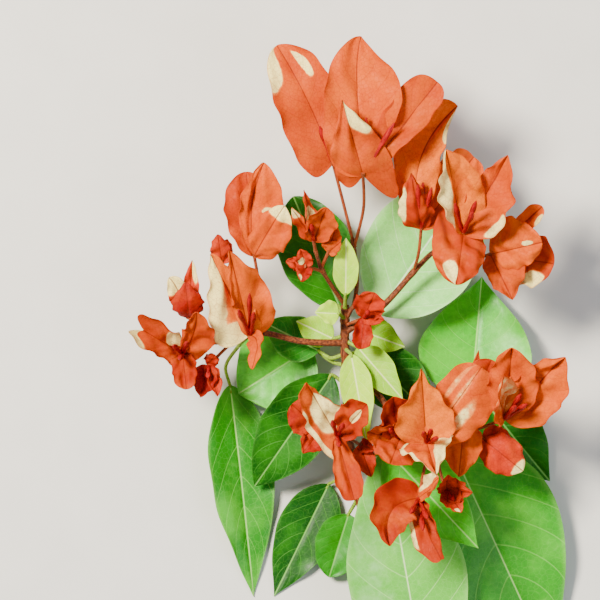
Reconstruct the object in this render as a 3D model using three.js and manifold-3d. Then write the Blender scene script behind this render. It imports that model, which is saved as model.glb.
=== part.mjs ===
// A flowering branch of bougainvillea, cut and lying on its back: a stem with its twigs, grown and
// young leaves, and blooms of three papery bracts round slender flower tubes.
// Millimetres. X runs to the right, Y along the branch towards its top, Z up from the ground.
import * as THREE from "three";
import { mergeVertices } from "three/addons/utils/BufferGeometryUtils.js";
import Module from "manifold-3d";

const wasm = await Module();
wasm.setup();

// Driving dimensions
const LEAF_THICKNESS = 1.0;
const BRACT_THICKNESS = 0.8;
const PETIOLE_RADIUS = 0.75;
const PEDICEL_RADIUS = 0.6;
const HEART_RADIUS = 1.3; // the knob that a bloom's bracts and flower tubes grow from
const SMALL_HEART = 0.8; // share of that size in a small bloom
const HEART_END = 0.6;
const TUBE_RADIUS = 1.0;
const TUBE_PROFILE = [0.7, 0.6, 1, 0.35]; // shares of the tube's radius from its root to its tip
const PETIOLE_TAPER = 0.8;
const PETIOLE_ENTRY = 0.04; // how far along the blade its stalk ends
const SEAT_GAP = 0.3; // between a stalk's root and the limb that carries it
const GROUND = 0;

// Facets
const LIMB_SIDES = 8;
const STALK_SIDES = 4;
const LEAF_GRID = { rows: 6, columns: 4 };
const BRACT_GRID = { rows: 5, columns: 4 };
const BUD_GRID = { rows: 4, columns: 2 };

const COLOURS = {
  stem: 0x96502f,
  bract: 0xf06428,
  bud: 0xc83c28,
  leaf: 0x3ca028,
  paleLeaf: 0xa0d48c,
  youngLeaf: 0xcde178,
  darkLeaf: 0x1f7a1c,
};

// Limbs: the points that each runs through, and its radius at the root and at the tip
const limbs = [
  {
    name: "main_stem",
    points: [
      [34.2, -144, 2.2], [30.6, -122, 4.5], [25.9, -94, 8.5], [20.9, -68, 13],
      [17.3, -47, 17], [16.9, -29, 20], [16.2, -14, 22], [16.2, -1.8, 23.5],
    ],
    radii: [1.9, 1.2],
  },
  {
    name: "twig_left",
    on: ["main_stem", 0.84],
    points: [[0.5, -14.9, 23], [-13.7, -11.9, 23], [-23.4, -14.4, 24], [-34.2, -15.6, 25]],
    radii: [1.25, 0.75],
  },
  {
    name: "twig_buds",
    on: ["main_stem", 1],
    points: [[11.2, 5.4, 29], [7.6, 11.5, 32], [5.6, 17.6, 34]],
    radii: [0.85, 0.6],
  },
  {
    name: "twig_top",
    on: ["main_stem", 0.93],
    points: [[19.6, -1.2, 24.4], [20.5, 8, 26], [18.9, 22, 29]],
    radii: [0.85, 0.7],
  },
  {
    name: "twig_right",
    on: ["main_stem", 0.88],
    points: [[30, -2, 26], [42.1, 11.5, 30], [48.6, 17.6, 33], [55, 19.8, 36]],
    radii: [1.2, 0.8],
  },
  {
    name: "twig_lower",
    on: ["main_stem", 0.77],
    points: [[28.1, -34, 25], [37.8, -47, 27], [47, -52, 28], [55, -50, 29]],
    radii: [1.2, 0.8],
  },
];

// Leaves. tip and base are places, turn leans the blade about its midrib, fold and cup bend its
// left and right halves, bow and sway bend the midrib out of its face and sideways, and hook turns
// its tip aside. halves widens each half.
const leaves = [
  {
    name: "leaf_big_pale",
    on: ["main_stem", 0.06],
    stalk: [[40, -141, 6.5]],
    base: [45, -136, 9],
    tip: [30.2, -52.6, 19],
    width: 44,
    widest: 0.42,
    cup: [14, 10],
    bow: 0.02,
    colour: "paleLeaf",
  },
  {
    name: "leaf_over_pale",
    on: ["main_stem", 0.52],
    stalk: [[25, -56.5, 20]],
    base: [31.7, -54.7, 23],
    tip: [64.4, -89.6, 25],
    width: 27,
    cup: [14, 14],
    colour: "leaf",
  },
  {
    name: "leaf_big_right",
    on: ["twig_lower", 0.97],
    stalk: [[57.5, -50.5, 20]],
    base: [55.8, -55.5, 12],
    tip: [91.4, -133, 1],
    width: 53,
    widest: 0.34,
    round: 0.55,
    fold: [0, 6],
    cup: [4, 14],
    bow: 0.02,
    colour: "leaf",
  },
  {
    name: "leaf_behind_right",
    on: ["twig_lower", 1],
    stalk: [[63, -44, 16]],
    base: [68, -38, 5],
    tip: [91, -66, 3.5],
    width: 24,
    colour: "darkLeaf",
  },
  {
    name: "leaf_dark_left",
    on: ["main_stem", 0.7],
    stalk: [],
    base: [11.5, -27, 22],
    tip: [-16.6, -67.7, 8.5],
    width: 26,
    widest: 0.42,
    cup: [12, 16],
    bow: 0.05,
    colour: "darkLeaf",
  },
  {
    name: "leaf_round_low",
    on: ["main_stem", 0.41],
    stalk: [],
    base: [17.6, -78, 6.2],
    tip: [10.6, -100.8, 4.6],
    width: 18,
    widest: 0.45,
    round: 0.5,
    colour: "leaf",
  },
  {
    name: "leaf_low_dark",
    on: ["main_stem", 0.5],
    stalk: [[16, -64, 9]],
    base: [10.5, -67, 3],
    tip: [-9.5, -108, 0.5],
    width: 22,
    cup: [6, 6],
    colour: "darkLeaf",
  },
  {
    name: "leaf_pale_right",
    on: ["twig_right", 0.2],
    stalk: [],
    base: [28.1, -5, 20],
    tip: [65.9, 48.6, 10],
    width: 42,
    widest: 0.4,
    cup: [8, 12],
    bow: 0.03,
    colour: "paleLeaf",
  },
  {
    name: "leaf_right",
    on: ["twig_lower", 0.9],
    stalk: [[56, -43, 20]],
    base: [62, -37, 12],
    tip: [66.2, 8.6, 3],
    width: 42,
    widest: 0.36,
    cup: [10, 14],
    colour: "leaf",
  },
  {
    name: "leaf_behind_buds",
    on: ["main_stem", 0.93],
    stalk: [],
    base: [14.5, -3, 17],
    tip: [-2.4, 37.5, 12],
    width: 28,
    widest: 0.5,
    cup: [14, 20],
    colour: "darkLeaf",
  },
  {
    name: "leaf_young_crisp",
    on: ["main_stem", 0.98],
    stalk: [],
    base: [16.4, 1.6, 30],
    tip: [16.6, 22.2, 36],
    width: 9.6,
    widest: 0.45,
    round: 0.8,
    cup: [18, 18],
    colour: "youngLeaf",
  },
  {
    name: "leaf_young_folded",
    on: ["main_stem", 0.94],
    stalk: [],
    base: [14, -5, 28],
    tip: [5.4, -4.4, 29],
    width: 11,
    fold: [30, 20],
    cup: [20, 20],
    colour: "youngLeaf",
  },
  {
    name: "leaf_left_green",
    on: ["main_stem", 0.8],
    stalk: [[11, -21, 18]],
    base: [7, -18.5, 15],
    tip: [-13.9, -7.6, 13],
    width: 17,
    colour: "leaf",
  },
  {
    name: "leaf_left_young",
    on: ["main_stem", 0.87],
    stalk: [],
    base: [12, -14, 19],
    tip: [-1.4, -7.6, 17.5],
    width: 12,
    colour: "youngLeaf",
  },
  {
    name: "leaf_left_behind",
    on: ["main_stem", 0.76],
    stalk: [[11, -22, 14]],
    base: [4.3, -17, 9],
    tip: [-22.3, -34, 7],
    width: 34,
    widest: 0.45,
    cup: [14, 10],
    colour: "leaf",
  },
  {
    name: "leaf_left_long",
    on: ["twig_left", 0.62],
    stalk: [[-22.5, -17, 16], [-27, -24, 8]],
    base: [-25.5, -31, 4],
    tip: [-17, -108, 0.8],
    width: 25,
    turn: -14,
    bow: 0.02,
    colour: "leaf",
  },
  {
    name: "leaf_centre_young",
    on: ["main_stem", 0.9],
    stalk: [],
    base: [20.5, -10.5, 18.2],
    tip: [38, -17, 19],
    width: 14,
    cup: [14, 20],
    colour: "youngLeaf",
  },
  {
    name: "leaf_by_stem",
    on: ["main_stem", 0.82],
    stalk: [],
    base: [18.4, -19.5, 27.6],
    tip: [24, -51, 31.5],
    width: 12.5,
    turn: 8,
    cup: [18, 22],
    colour: "youngLeaf",
  },
  {
    name: "leaf_centre_low",
    on: ["main_stem", 0.85],
    stalk: [],
    base: [20.8, -17, 24.2],
    tip: [37.2, -36, 29],
    width: 13.5,
    cup: [16, 16],
    colour: "youngLeaf",
  },
  {
    name: "leaf_centre_dark",
    on: ["main_stem", 0.8],
    stalk: [],
    base: [23.5, -18.5, 15.5],
    tip: [50.4, -45, 15],
    width: 23,
    cup: [12, 16],
    colour: "darkLeaf",
  },
];

// Blooms. heart is where bracts and flower tubes meet the pedicel. A negative cup shows the
// bract's back, roll bends the outer part of each half further, lobe drops each half's foot below
// the base, and prong carries its edges past the tip.
const blooms = [
  {
    name: "bloom_top_left",
    on: ["twig_top", 1],
    stalk: [[15, 37, 36]],
    heart: [11.9, 48.6, 42],
    bracts: [
      {
        tip: [-8.3, 91.1, 45], width: 25.5, halves: [1, 0.94], widest: [0.38, 0.6],
        round: [0.28, 1.05], lobe: [0.5, 0.2], cup: [20, 22], bow: 0.05, sway: 0.03, wave: 1.2,
      },
      { tip: [5, 80, 18], width: 22, cup: [24, 24], bow: 0.05 },
      { tip: [22, 62, 20], width: 20, cup: [24, 24], bow: 0.05 },
    ],
    tubes: [[7, 62, 50], [3, 60, 32], [9, 62, 34]],
  },
  {
    name: "bloom_top",
    on: ["twig_top", 0.91],
    stalk: [[22.8, 33, 38]],
    heart: [22.5, 44.4, 51],
    bracts: [
      {
        tip: [18.8, 93.8, 53], width: 33, halves: [0.8, 1], widest: [0.4, 0.58],
        round: [0.36, 1.5], cup: [18, 14], bow: -0.02, hook: 0.06, wave: 1.6,
      },
      {
        tip: [14.9, 71.2, 60], width: 23.4, halves: [0.8, 1], widest: 0.26, round: [0.4, 0.5],
        lobe: [1, 2.2], cup: [-26, -20], bow: 0.06, wave: 0.6,
      },
      {
        tip: [49, 77.8, 53], width: 17, halves: [1.1, 0.8], widest: 0.72, round: 0.8, turn: -8,
        cup: [24, 14], bow: 0,
      },
    ],
    tubes: [[23.6, 65, 55], [33.6, 63, 57], [27, 56, 53]],
  },
  {
    name: "bloom_right_upper",
    on: ["twig_right", 0.47],
    stalk: [[42.6, 17, 38]],
    heart: [43.4, 25.4, 41],
    bracts: [
      {
        tip: [56.5, 69.5, 42], width: 21.5, halves: [1, 0.75], widest: [0.66, 0.45], round: 0.9,
        sway: -0.16, cup: [14, 26], bow: -0.02, wave: 1.4,
      },
      {
        tip: [62.6, 51.5, 30], width: 19, halves: [1, 0.85], widest: 0.66, turn: 12, cup: [20, 16],
      },
      {
        tip: [39.6, 45.4, 50], width: 15, halves: [1, 0.75], widest: 0.36, cup: [-50, -44],
        bow: 0.13, lobe: [0.3, 0.3], wave: 0.5,
      },
    ],
    tubes: [[42, 41, 52], [47, 40, 50], [44, 42, 46]],
  },
  {
    name: "bloom_right_middle",
    on: ["twig_right", 1],
    stalk: [],
    heart: [58.3, 23.8, 48],
    bracts: [
      {
        tip: [51.8, 53.3, 64], width: 22, halves: [0.7, 1], widest: 0.46, turn: 6, fold: [24, 8],
        cup: [40, 16], bow: -0.04, wave: 0.6,
      },
      {
        tip: [73.8, 51.5, 60], width: 20, halves: [0.6, 1.3], widest: 0.42, turn: -10,
        cup: [26, 34], bow: -0.04,
      },
      {
        tip: [55.6, 5.4, 58], width: 19, halves: [0.95, 1.15], widest: 0.4, round: 0.4,
        cup: [-26, -18], bow: 0.1, lobe: [0.8, 2.4], wave: 0.8,
      },
    ],
    tubes: [[55.1, 34.2, 62], [62.5, 35, 64], [61.2, 31, 68]],
  },
  {
    name: "bloom_right_low",
    on: ["twig_right", 0.86],
    stalk: [[56, 13.5, 33], [63.5, 15, 37]],
    heart: [68.2, 16.4, 40],
    bracts: [
      {
        tip: [86.4, 20.6, 49], width: 19, halves: [1.2, 0.8], widest: 0.5, round: 0.5,
        cup: [-30, -26], bow: 0.16, wave: 0.6,
      },
      { tip: [86.6, 33.4, 46], width: 8, widest: 0.72, round: 0.9, cup: [34, 30], bow: -0.05 },
      {
        tip: [76, 0, 47], width: 16, halves: [1.3, 0.6], widest: 0.4, cup: [-30, -24], bow: 0.14,
        lobe: [0.4, 0.4],
      },
      { tip: [91, 13, 42], width: 20, widest: 0.64, round: 0.8, cup: [26, 30], bow: -0.04 },
    ],
    tubes: [[77, 15, 33], [73, 9, 33], [76, 22, 34]],
  },
  {
    name: "bloom_left_high",
    on: ["twig_left", 0.5],
    stalk: [[-14.6, 4, 27]],
    heart: [-16.4, 15.6, 33],
    bracts: [
      {
        tip: [-13, 49.3, 40], width: 17, halves: [0.55, 1.35], widest: 0.5, turn: 8, sway: -0.08,
        cup: [22, 18], bow: 0.05,
      },
      {
        tip: [-5.6, 33.6, 46], width: 15, halves: [0.8, 1.15], widest: 0.5, turn: -8,
        cup: [-30, -36], bow: 0.12,
      },
      { tip: [-19.4, 46.1, 31], width: 17, halves: [1.1, 0.9], widest: 0.55, cup: [24, 24] },
    ],
    tubes: [[-13.5, 31, 38], [-16, 30, 34], [-12, 28, 32]],
  },
  {
    name: "bloom_left_middle",
    on: ["twig_left", 0.56],
    stalk: [],
    heart: [-18, -12.8, 32],
    bracts: [
      {
        tip: [-32, 16.4, 46], width: 25, halves: [1, 0.56], widest: [0.2, 0.32],
        round: [0.3, 0.25], lobe: [0.1, 0], fold: [10, 10], cup: [14, 36], roll: [10, 0],
        bow: -0.02, wave: 0.4,
      },
      {
        tip: [-25.2, 17.6, 53], width: 19, halves: [0.4, 1.2], widest: 0.34, round: 0.5, turn: 8,
        cup: [28, 20], wave: 1.9,
      },
      {
        tip: [-17.3, -24.8, 43], width: 7, widest: 0.55, sway: -0.26, turn: 30, cup: [30, 30],
        bow: 0.14,
      },
    ],
    tubes: [[-18, 2.2, 50], [-22, -3.6, 50], [-16.4, -4.4, 48]],
  },
  {
    name: "bloom_left_low",
    on: ["twig_left", 1],
    stalk: [],
    heart: [-42.2, -19.4, 30],
    bracts: [
      {
        tip: [-37, -4.4, 47], width: 15, halves: [0.6, 1.05], widest: 0.52, round: 0.6, turn: 6,
        cup: [30, 22], bow: -0.02, sway: 0.06, lobe: [0.5, 0.8], wave: 0.6,
      },
      {
        tip: [-56.2, -10.8, 42], width: 15, widest: 0.62, prong: 1.8, fold: [16, 16],
        cup: [50, 44], bow: 0.05,
      },
      { tip: [-40.7, -32, 40], width: 10, widest: 0.58, cup: [30, 34], bow: 0.1 },
    ],
    tubes: [[-45.4, -16.2, 45], [-40.4, -15, 47], [-43, -21, 47]],
  },
  {
    name: "bloom_left_half_closed",
    on: ["twig_left", 0.9],
    stalk: [[-35, -11, 25]],
    heart: [-40, -6.6, 24],
    bracts: [
      {
        tip: [-45.9, 8.6, 29], width: 8, widest: 0.6, round: 0.8, hook: -0.08, cup: [20, 20],
        bow: 0.04,
      },
      { tip: [-38.9, 14.4, 27], width: 6.5, widest: 0.46, round: 0.9, cup: [20, 20], bow: 0.04 },
      {
        tip: [-41.2, 6.6, 32], width: 12.6, widest: 0.45, round: 0.7, cup: [-46, -46], bow: 0.22,
        wave: 0.4,
      },
    ],
    tubes: [[-41.5, 3, 29]],
    small: true,
    colour: "bud",
  },
  {
    name: "bloom_left_small",
    on: ["twig_left", 0.76],
    stalk: [],
    heart: [-33.1, -23.6, 28],
    bracts: [
      { tip: [-35.8, -35, 34], width: 10, cup: [40, 30] },
      { tip: [-29.6, -34.6, 34], width: 7, turn: -30, cup: [30, 40] },
      { tip: [-30.6, -19.6, 32], width: 6, cup: [-40, -40] },
    ],
    tubes: [[-33, -28, 35]],
    small: true,
    colour: "bud",
  },
  {
    name: "bud_left",
    on: ["twig_left", 0.68],
    stalk: [[-27, -2, 26]],
    heart: [-28.1, 13.2, 30],
    bracts: [
      { tip: [-29.6, 23.6, 34], width: 8, cup: [-50, -50], bow: 0.1 },
      { tip: [-26.2, 22, 29], width: 7, cup: [40, 40] },
    ],
    tubes: [],
    small: true,
    colour: "bud",
  },
  {
    name: "bud_upper",
    on: ["twig_buds", 1],
    stalk: [],
    heart: [4.9, 21, 38],
    bracts: [
      { tip: [1.4, 39.4, 44], width: 7, round: 0.9, turn: 50, cup: [30, 30] },
      { tip: [9.4, 33, 50], width: 12, turn: 14, cup: [40, 40], widest: 0.58 },
      { tip: [-3, 33, 48], width: 6, turn: -40, cup: [40, 30] },
    ],
    tubes: [[4, 27, 47]],
    small: true,
  },
  {
    name: "bud_upper_right",
    on: ["twig_buds", 0.66],
    stalk: [],
    heart: [10.2, 17.2, 36],
    bracts: [
      { tip: [13, 27, 39], width: 7, cup: [-40, -40], bow: 0.1 },
      { tip: [14.6, 20.8, 40], width: 6, cup: [40, 40] },
    ],
    tubes: [],
    small: true,
  },
  {
    name: "bud_upper_left",
    on: ["twig_buds", 0.6],
    stalk: [],
    heart: [2.2, 12, 38],
    bracts: [
      { tip: [-5, 14, 40], width: 6, cup: [40, 30] },
      { tip: [0.4, 6.6, 42], width: 6, cup: [30, 30] },
      { tip: [0.2, 18.2, 43], width: 7, cup: [30, 40] },
    ],
    tubes: [],
    small: true,
    colour: "bud",
  },
  {
    name: "bloom_centre_small",
    on: ["main_stem", 0.91],
    stalk: [],
    heart: [23, -6.4, 33],
    bracts: [
      { tip: [26.8, 2.6, 41], width: 12, widest: 0.6, cup: [24, 24] },
      { tip: [30.2, -7, 38], width: 6, cup: [40, 40] },
      { tip: [21.8, -17.6, 36], width: 8, widest: 0.6, cup: [30, 34] },
    ],
    tubes: [[24.6, -4, 41]],
    small: true,
    colour: "bud",
  },
  {
    name: "bloom_lower_left",
    on: ["main_stem", 0.6],
    stalk: [[14, -48, 30]],
    heart: [13.3, -49, 40],
    bracts: [
      {
        tip: [2.2, -29.5, 53], width: 16, halves: [1, 0.85], widest: [0.45, 0.25],
        round: [0.4, 0.5], cup: [30, 24], bow: -0.06, lobe: [2.2, 0.3], wave: 0.6,
      },
      { tip: [23.8, -37.1, 52], width: 14, widest: 0.6, turn: -14, cup: [40, 40], bow: -0.04 },
      { tip: [19.4, -71.3, 54], width: 10.4, widest: 0.74, cup: [30, 34], bow: 0.06, wave: 0.6 },
    ],
    tubes: [[11.5, -43, 54], [15.5, -44, 53], [14, -52, 55]],
  },
  {
    name: "bloom_lower_left_behind",
    on: ["main_stem", 0.57],
    stalk: [[14, -51.5, 26]],
    heart: [7.6, -46.5, 29],
    bracts: [
      { tip: [-3, -37.6, 36], width: 14, widest: 0.55, cup: [-30, -24], bow: 0.1 },
      { tip: [1, -55, 34], width: 11, cup: [30, 30] },
      { tip: [6.5, -36, 33], width: 11, cup: [30, 30] },
    ],
    tubes: [],
    small: true,
    colour: "bud",
  },
  {
    name: "bud_lower_small",
    on: ["main_stem", 0.55],
    stalk: [],
    heart: [21.5, -52, 31],
    bracts: [
      { tip: [25.6, -63.6, 36], width: 8, cup: [-30, -30], bow: 0.1 },
      { tip: [26.6, -54, 37], width: 6, cup: [30, 40] },
    ],
    tubes: [],
    small: true,
    colour: "bud",
  },
  {
    name: "bloom_lower_centre",
    on: ["twig_lower", 0.82],
    stalk: [],
    heart: [45.4, -51.4, 40],
    bracts: [
      {
        tip: [43.2, -24.5, 54], width: 24, widest: 0.33, round: 0.8, fold: [20, 20], cup: [12, 12],
        bow: -0.03, wave: 0.3,
      },
      {
        tip: [64.8, -24.1, 47], width: 22, halves: [0.8, 1.2], widest: 0.64, cup: [-24, -28],
        bow: 0.08,
      },
      {
        tip: [48.6, -62.6, 60], width: 20, widest: 0.26, round: 0.5, fold: [10, 10], cup: [10, 10],
        bow: 0.1, lobe: [0.3, 0.3], wave: 0.4,
      },
    ],
    tubes: [[46.8, -46, 58], [44, -47, 57], [49, -49, 58]],
  },
  {
    name: "bloom_lower_centre_left",
    on: ["twig_lower", 0.58],
    stalk: [],
    heart: [35.6, -50, 36],
    bracts: [
      { tip: [33.4, -34.6, 48], width: 15, widest: 0.56, turn: 14, cup: [30, 40], bow: -0.05 },
      { tip: [24, -47.4, 45], width: 13, turn: -20, cup: [36, 30] },
      { tip: [32.2, -58.6, 46], width: 17, widest: 0.5, cup: [-24, -30], bow: 0.12 },
    ],
    tubes: [[32, -46, 47], [35.6, -44.6, 46]],
  },
  {
    name: "bloom_lower_behind",
    on: ["twig_lower", 0.94],
    stalk: [[56.5, -44.5, 32]],
    heart: [59, -43, 34],
    bracts: [
      { tip: [64.2, -18, 36], width: 7, round: 0.9, turn: 30, cup: [30, 30] },
      { tip: [68.6, -21.4, 40], width: 14, widest: 0.6, cup: [26, 26] },
      { tip: [56.9, -63.4, 40], width: 15, cup: [-30, -34], bow: 0.1 },
    ],
    tubes: [],
    small: true,
  },
  {
    name: "bloom_lower_right",
    on: ["twig_lower", 1],
    stalk: [[65, -46, 33]],
    heart: [73.1, -42.6, 45],
    bracts: [
      {
        tip: [75.3, -17, 60], width: 19, halves: [0.75, 1.2], widest: 0.52, turn: -6,
        cup: [22, 22], bow: -0.04,
      },
      {
        tip: [94.3, -20.4, 60], width: 20, halves: [0.75, 1.25], widest: 0.46, turn: 10,
        cup: [16, 36], bow: -0.05,
      },
      { tip: [72.2, -27.2, 67], width: 15, turn: 48, cup: [50, 40], bow: -0.08, lobe: [0.6, 1.4] },
    ],
    tubes: [[78.5, -33.5, 61], [76.6, -37.6, 63], [80.6, -37, 61]],
  },
  {
    name: "bloom_lower_right_small",
    on: ["twig_lower", 0.985],
    stalk: [[60, -52, 29]],
    heart: [65.6, -49.8, 31],
    bracts: [
      { tip: [80, -61.4, 35], width: 15, widest: 0.5, cup: [-30, -30], bow: 0.12 },
      { tip: [76, -50, 28], width: 11, cup: [30, 30] },
    ],
    tubes: [],
    small: true,
    colour: "bud",
  },
  {
    name: "bloom_hanging_left",
    on: ["twig_lower", 0.76],
    stalk: [[44.8, -60, 34]],
    heart: [42.6, -71, 40],
    bracts: [
      {
        tip: [32, -87.8, 52], width: 19, widest: 0.42, sway: 0.26, cup: [34, 40], bow: 0.06,
        lobe: [0.6, 0.6],
      },
      {
        tip: [50.4, -92.6, 50], width: 13, widest: 0.5, prong: 0.7, turn: 30, cup: [44, 40],
        bow: 0.08,
      },
      { tip: [49.3, -63.4, 57], width: 10, widest: 0.6, turn: -56, cup: [40, 40], bow: -0.04 },
    ],
    tubes: [[43.8, -82, 54], [39.4, -76, 55], [45.4, -78, 54]],
  },
  {
    name: "bud_hanging_right",
    on: ["twig_lower", 0.84],
    stalk: [[50, -60, 33]],
    heart: [52.4, -68.2, 37],
    bracts: [
      { tip: [61.6, -69, 45], width: 10, cup: [40, 40] },
      { tip: [57.8, -76, 45], width: 9, cup: [40, 40] },
      { tip: [53, -62.6, 45], width: 9, turn: 20, cup: [40, 40] },
    ],
    tubes: [[54.8, -71.5, 44]],
    small: true,
    colour: "bud",
  },
];

const vector = (place) => new THREE.Vector3(...place);

// A smooth curve through the given places
const route = (places) => new THREE.CatmullRomCurve3(places, false, "catmullrom", 0.5);

// The value at share of a list of evenly spaced values
function between(values, share) {
  const place = share * (values.length - 1);
  const first = Math.min(Math.floor(place), values.length - 2);
  return values[first] + (values[first + 1] - values[first]) * (place - first);
}

function solidFrom(positions, triangles) {
  const geometry = new THREE.BufferGeometry();
  geometry.setAttribute("position", new THREE.Float32BufferAttribute(positions, 3));
  geometry.setIndex(triangles);
  const welded = mergeVertices(geometry, 1e-4);
  const mesh = new wasm.Mesh({
    numProp: 3,
    vertProperties: new Float32Array(welded.attributes.position.array),
    triVerts: new Uint32Array(welded.index.array),
  });
  return new wasm.Manifold(mesh);
}

// A round limb along a curve, its radius read from a list that runs from root to tip
function limbSolid(curve, radii, sides, steps) {
  const frames = curve.computeFrenetFrames(steps, false);
  const positions = [];
  const triangles = [];
  for (let step = 0; step <= steps; step += 1) {
    const centre = curve.getPoint(step / steps);
    const radius = between(radii, step / steps);
    for (let side = 0; side < sides; side += 1) {
      const angle = (2 * Math.PI * side) / sides;
      const spot = centre.clone();
      spot.addScaledVector(frames.normals[step], radius * Math.cos(angle));
      spot.addScaledVector(frames.binormals[step], radius * Math.sin(angle));
      positions.push(...spot.toArray());
    }
  }
  for (let step = 0; step < steps; step += 1) {
    for (let side = 0; side < sides; side += 1) {
      const here = step * sides + side;
      const next = step * sides + ((side + 1) % sides);
      triangles.push(here, next, next + sides, here, next + sides, here + sides);
    }
  }
  const last = steps * sides;
  for (let side = 1; side < sides - 1; side += 1) {
    triangles.push(0, side + 1, side, last, last + side, last + side + 1);
  }
  return solidFrom(positions, triangles);
}

// A value of one half of a blade: it is one number for both, or a list of left and right
function ofHalf(value, half) {
  return Array.isArray(value) ? value[half] : value;
}

// How a blade's half width runs from its base to its tip, as a share of the greatest
function outline(share, round, widest) {
  const tipPower = (round * (1 - widest)) / widest;
  const greatest = widest ** round * (1 - widest) ** tipPower;
  return (share ** round * (1 - share) ** tipPower) / greatest;
}

const BLADE_DEFAULTS = {
  turn: 0, halves: [1, 1], fold: [6, 6], cup: [16, 16], roll: [0, 0], bow: 0, sway: 0, hook: 0,
  curl: 0, lobe: [0, 0], prong: 0, wave: 0, round: 0.7, widest: 0.38,
};
const BRACT_DEFAULTS = { round: 0.6, widest: 0.42, lobe: [0.2, 0.2], wave: 1.0 };
const WAVES = 2.3; // waves along each edge of a bract
const WAVE_LAG = 0.37; // how far the right edge's waves lag the left one's, in waves
const WAVE_SHIFT = 9; // added width that starts an edge's waves one wave later
const HOOK_POWER = 6; // how late along the blade its tip hooks aside
const ROLL_FROM = 0.6; // share of the half width where the rolled edge begins
const CURL_FROM = 0.65; // share of the length where the tip's curl begins
const ARC_STEPS = 12;
const SLOPE_STEP = 0.01;
const SKIN_STEP = 0.02;
const SKIN_END = 0.97; // share of the length and width past which the skin's slope is kept

// The surface of a blade as a function: share runs 0 to 1 from base to tip, and across runs
// -1 to 1 from its left edge to its right one. Each half turns up by its fold at the midrib, bends
// evenly by its cup as it goes out, and by its roll near the edge.
function bladeSurface(shape) {
  const blade = { ...BLADE_DEFAULTS, ...shape };
  const base = vector(blade.base);
  const along = vector(blade.tip).sub(base);
  const length = along.length();
  along.normalize();
  const face = new THREE.Vector3(0, 0, 1);
  face.addScaledVector(along, -face.dot(along)).normalize();
  face.applyAxisAngle(along, THREE.MathUtils.degToRad(blade.turn));
  const side = along.clone().cross(face);

  function midrib(share) {
    const arch = 4 * share * (1 - share);
    const curled = Math.max(0, (share - CURL_FROM) / (1 - CURL_FROM)) ** 2;
    const spot = base.clone().addScaledVector(along, length * share);
    spot.addScaledVector(face, length * (blade.bow * arch + blade.curl * curled));
    const aside = blade.sway * arch + blade.hook * share ** HOOK_POWER;
    return spot.addScaledVector(side, length * aside);
  }

  return function surface(share, across) {
    const ahead = midrib(share + SLOPE_STEP).sub(midrib(share - SLOPE_STEP)).normalize();
    const up = face.clone().addScaledVector(ahead, -face.dot(ahead)).normalize();
    const right = ahead.clone().cross(up);
    const half = across < 0 ? 0 : 1;
    const [fold, cup, roll] = [blade.fold, blade.cup, blade.roll].map((bend) =>
      THREE.MathUtils.degToRad(bend[half]),
    );
    const out = Math.abs(across);
    let lateral = 0;
    let lift = 0;
    for (let part = 0; part < ARC_STEPS; part += 1) {
      const place = (out * (part + 0.5)) / ARC_STEPS;
      const edge = Math.max(0, (place - ROLL_FROM) / (1 - ROLL_FROM)) ** 2;
      const angle = fold + cup * place + roll * edge;
      lateral += (Math.cos(angle) * out) / ARC_STEPS;
      lift += (Math.sin(angle) * out) / ARC_STEPS;
    }
    const [round, widest] = [ofHalf(blade.round, half), ofHalf(blade.widest, half)];
    const halfWidth = (blade.width / 2) * blade.halves[half] * outline(share, round, widest);
    const waves = WAVES * share + WAVE_LAG * half + blade.width / WAVE_SHIFT;
    const ripple = Math.sin(2 * Math.PI * waves) * Math.sin(Math.PI * share);
    const ends = blade.lobe[half] * (1 - share) ** 3 - blade.prong * share ** 3;
    const spot = midrib(share);
    spot.addScaledVector(right, Math.sign(across) * halfWidth * lateral);
    spot.addScaledVector(up, halfWidth * lift + blade.wave * out * out * ripple);
    return spot.addScaledVector(ahead, -halfWidth * out * out * ends);
  };
}

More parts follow.
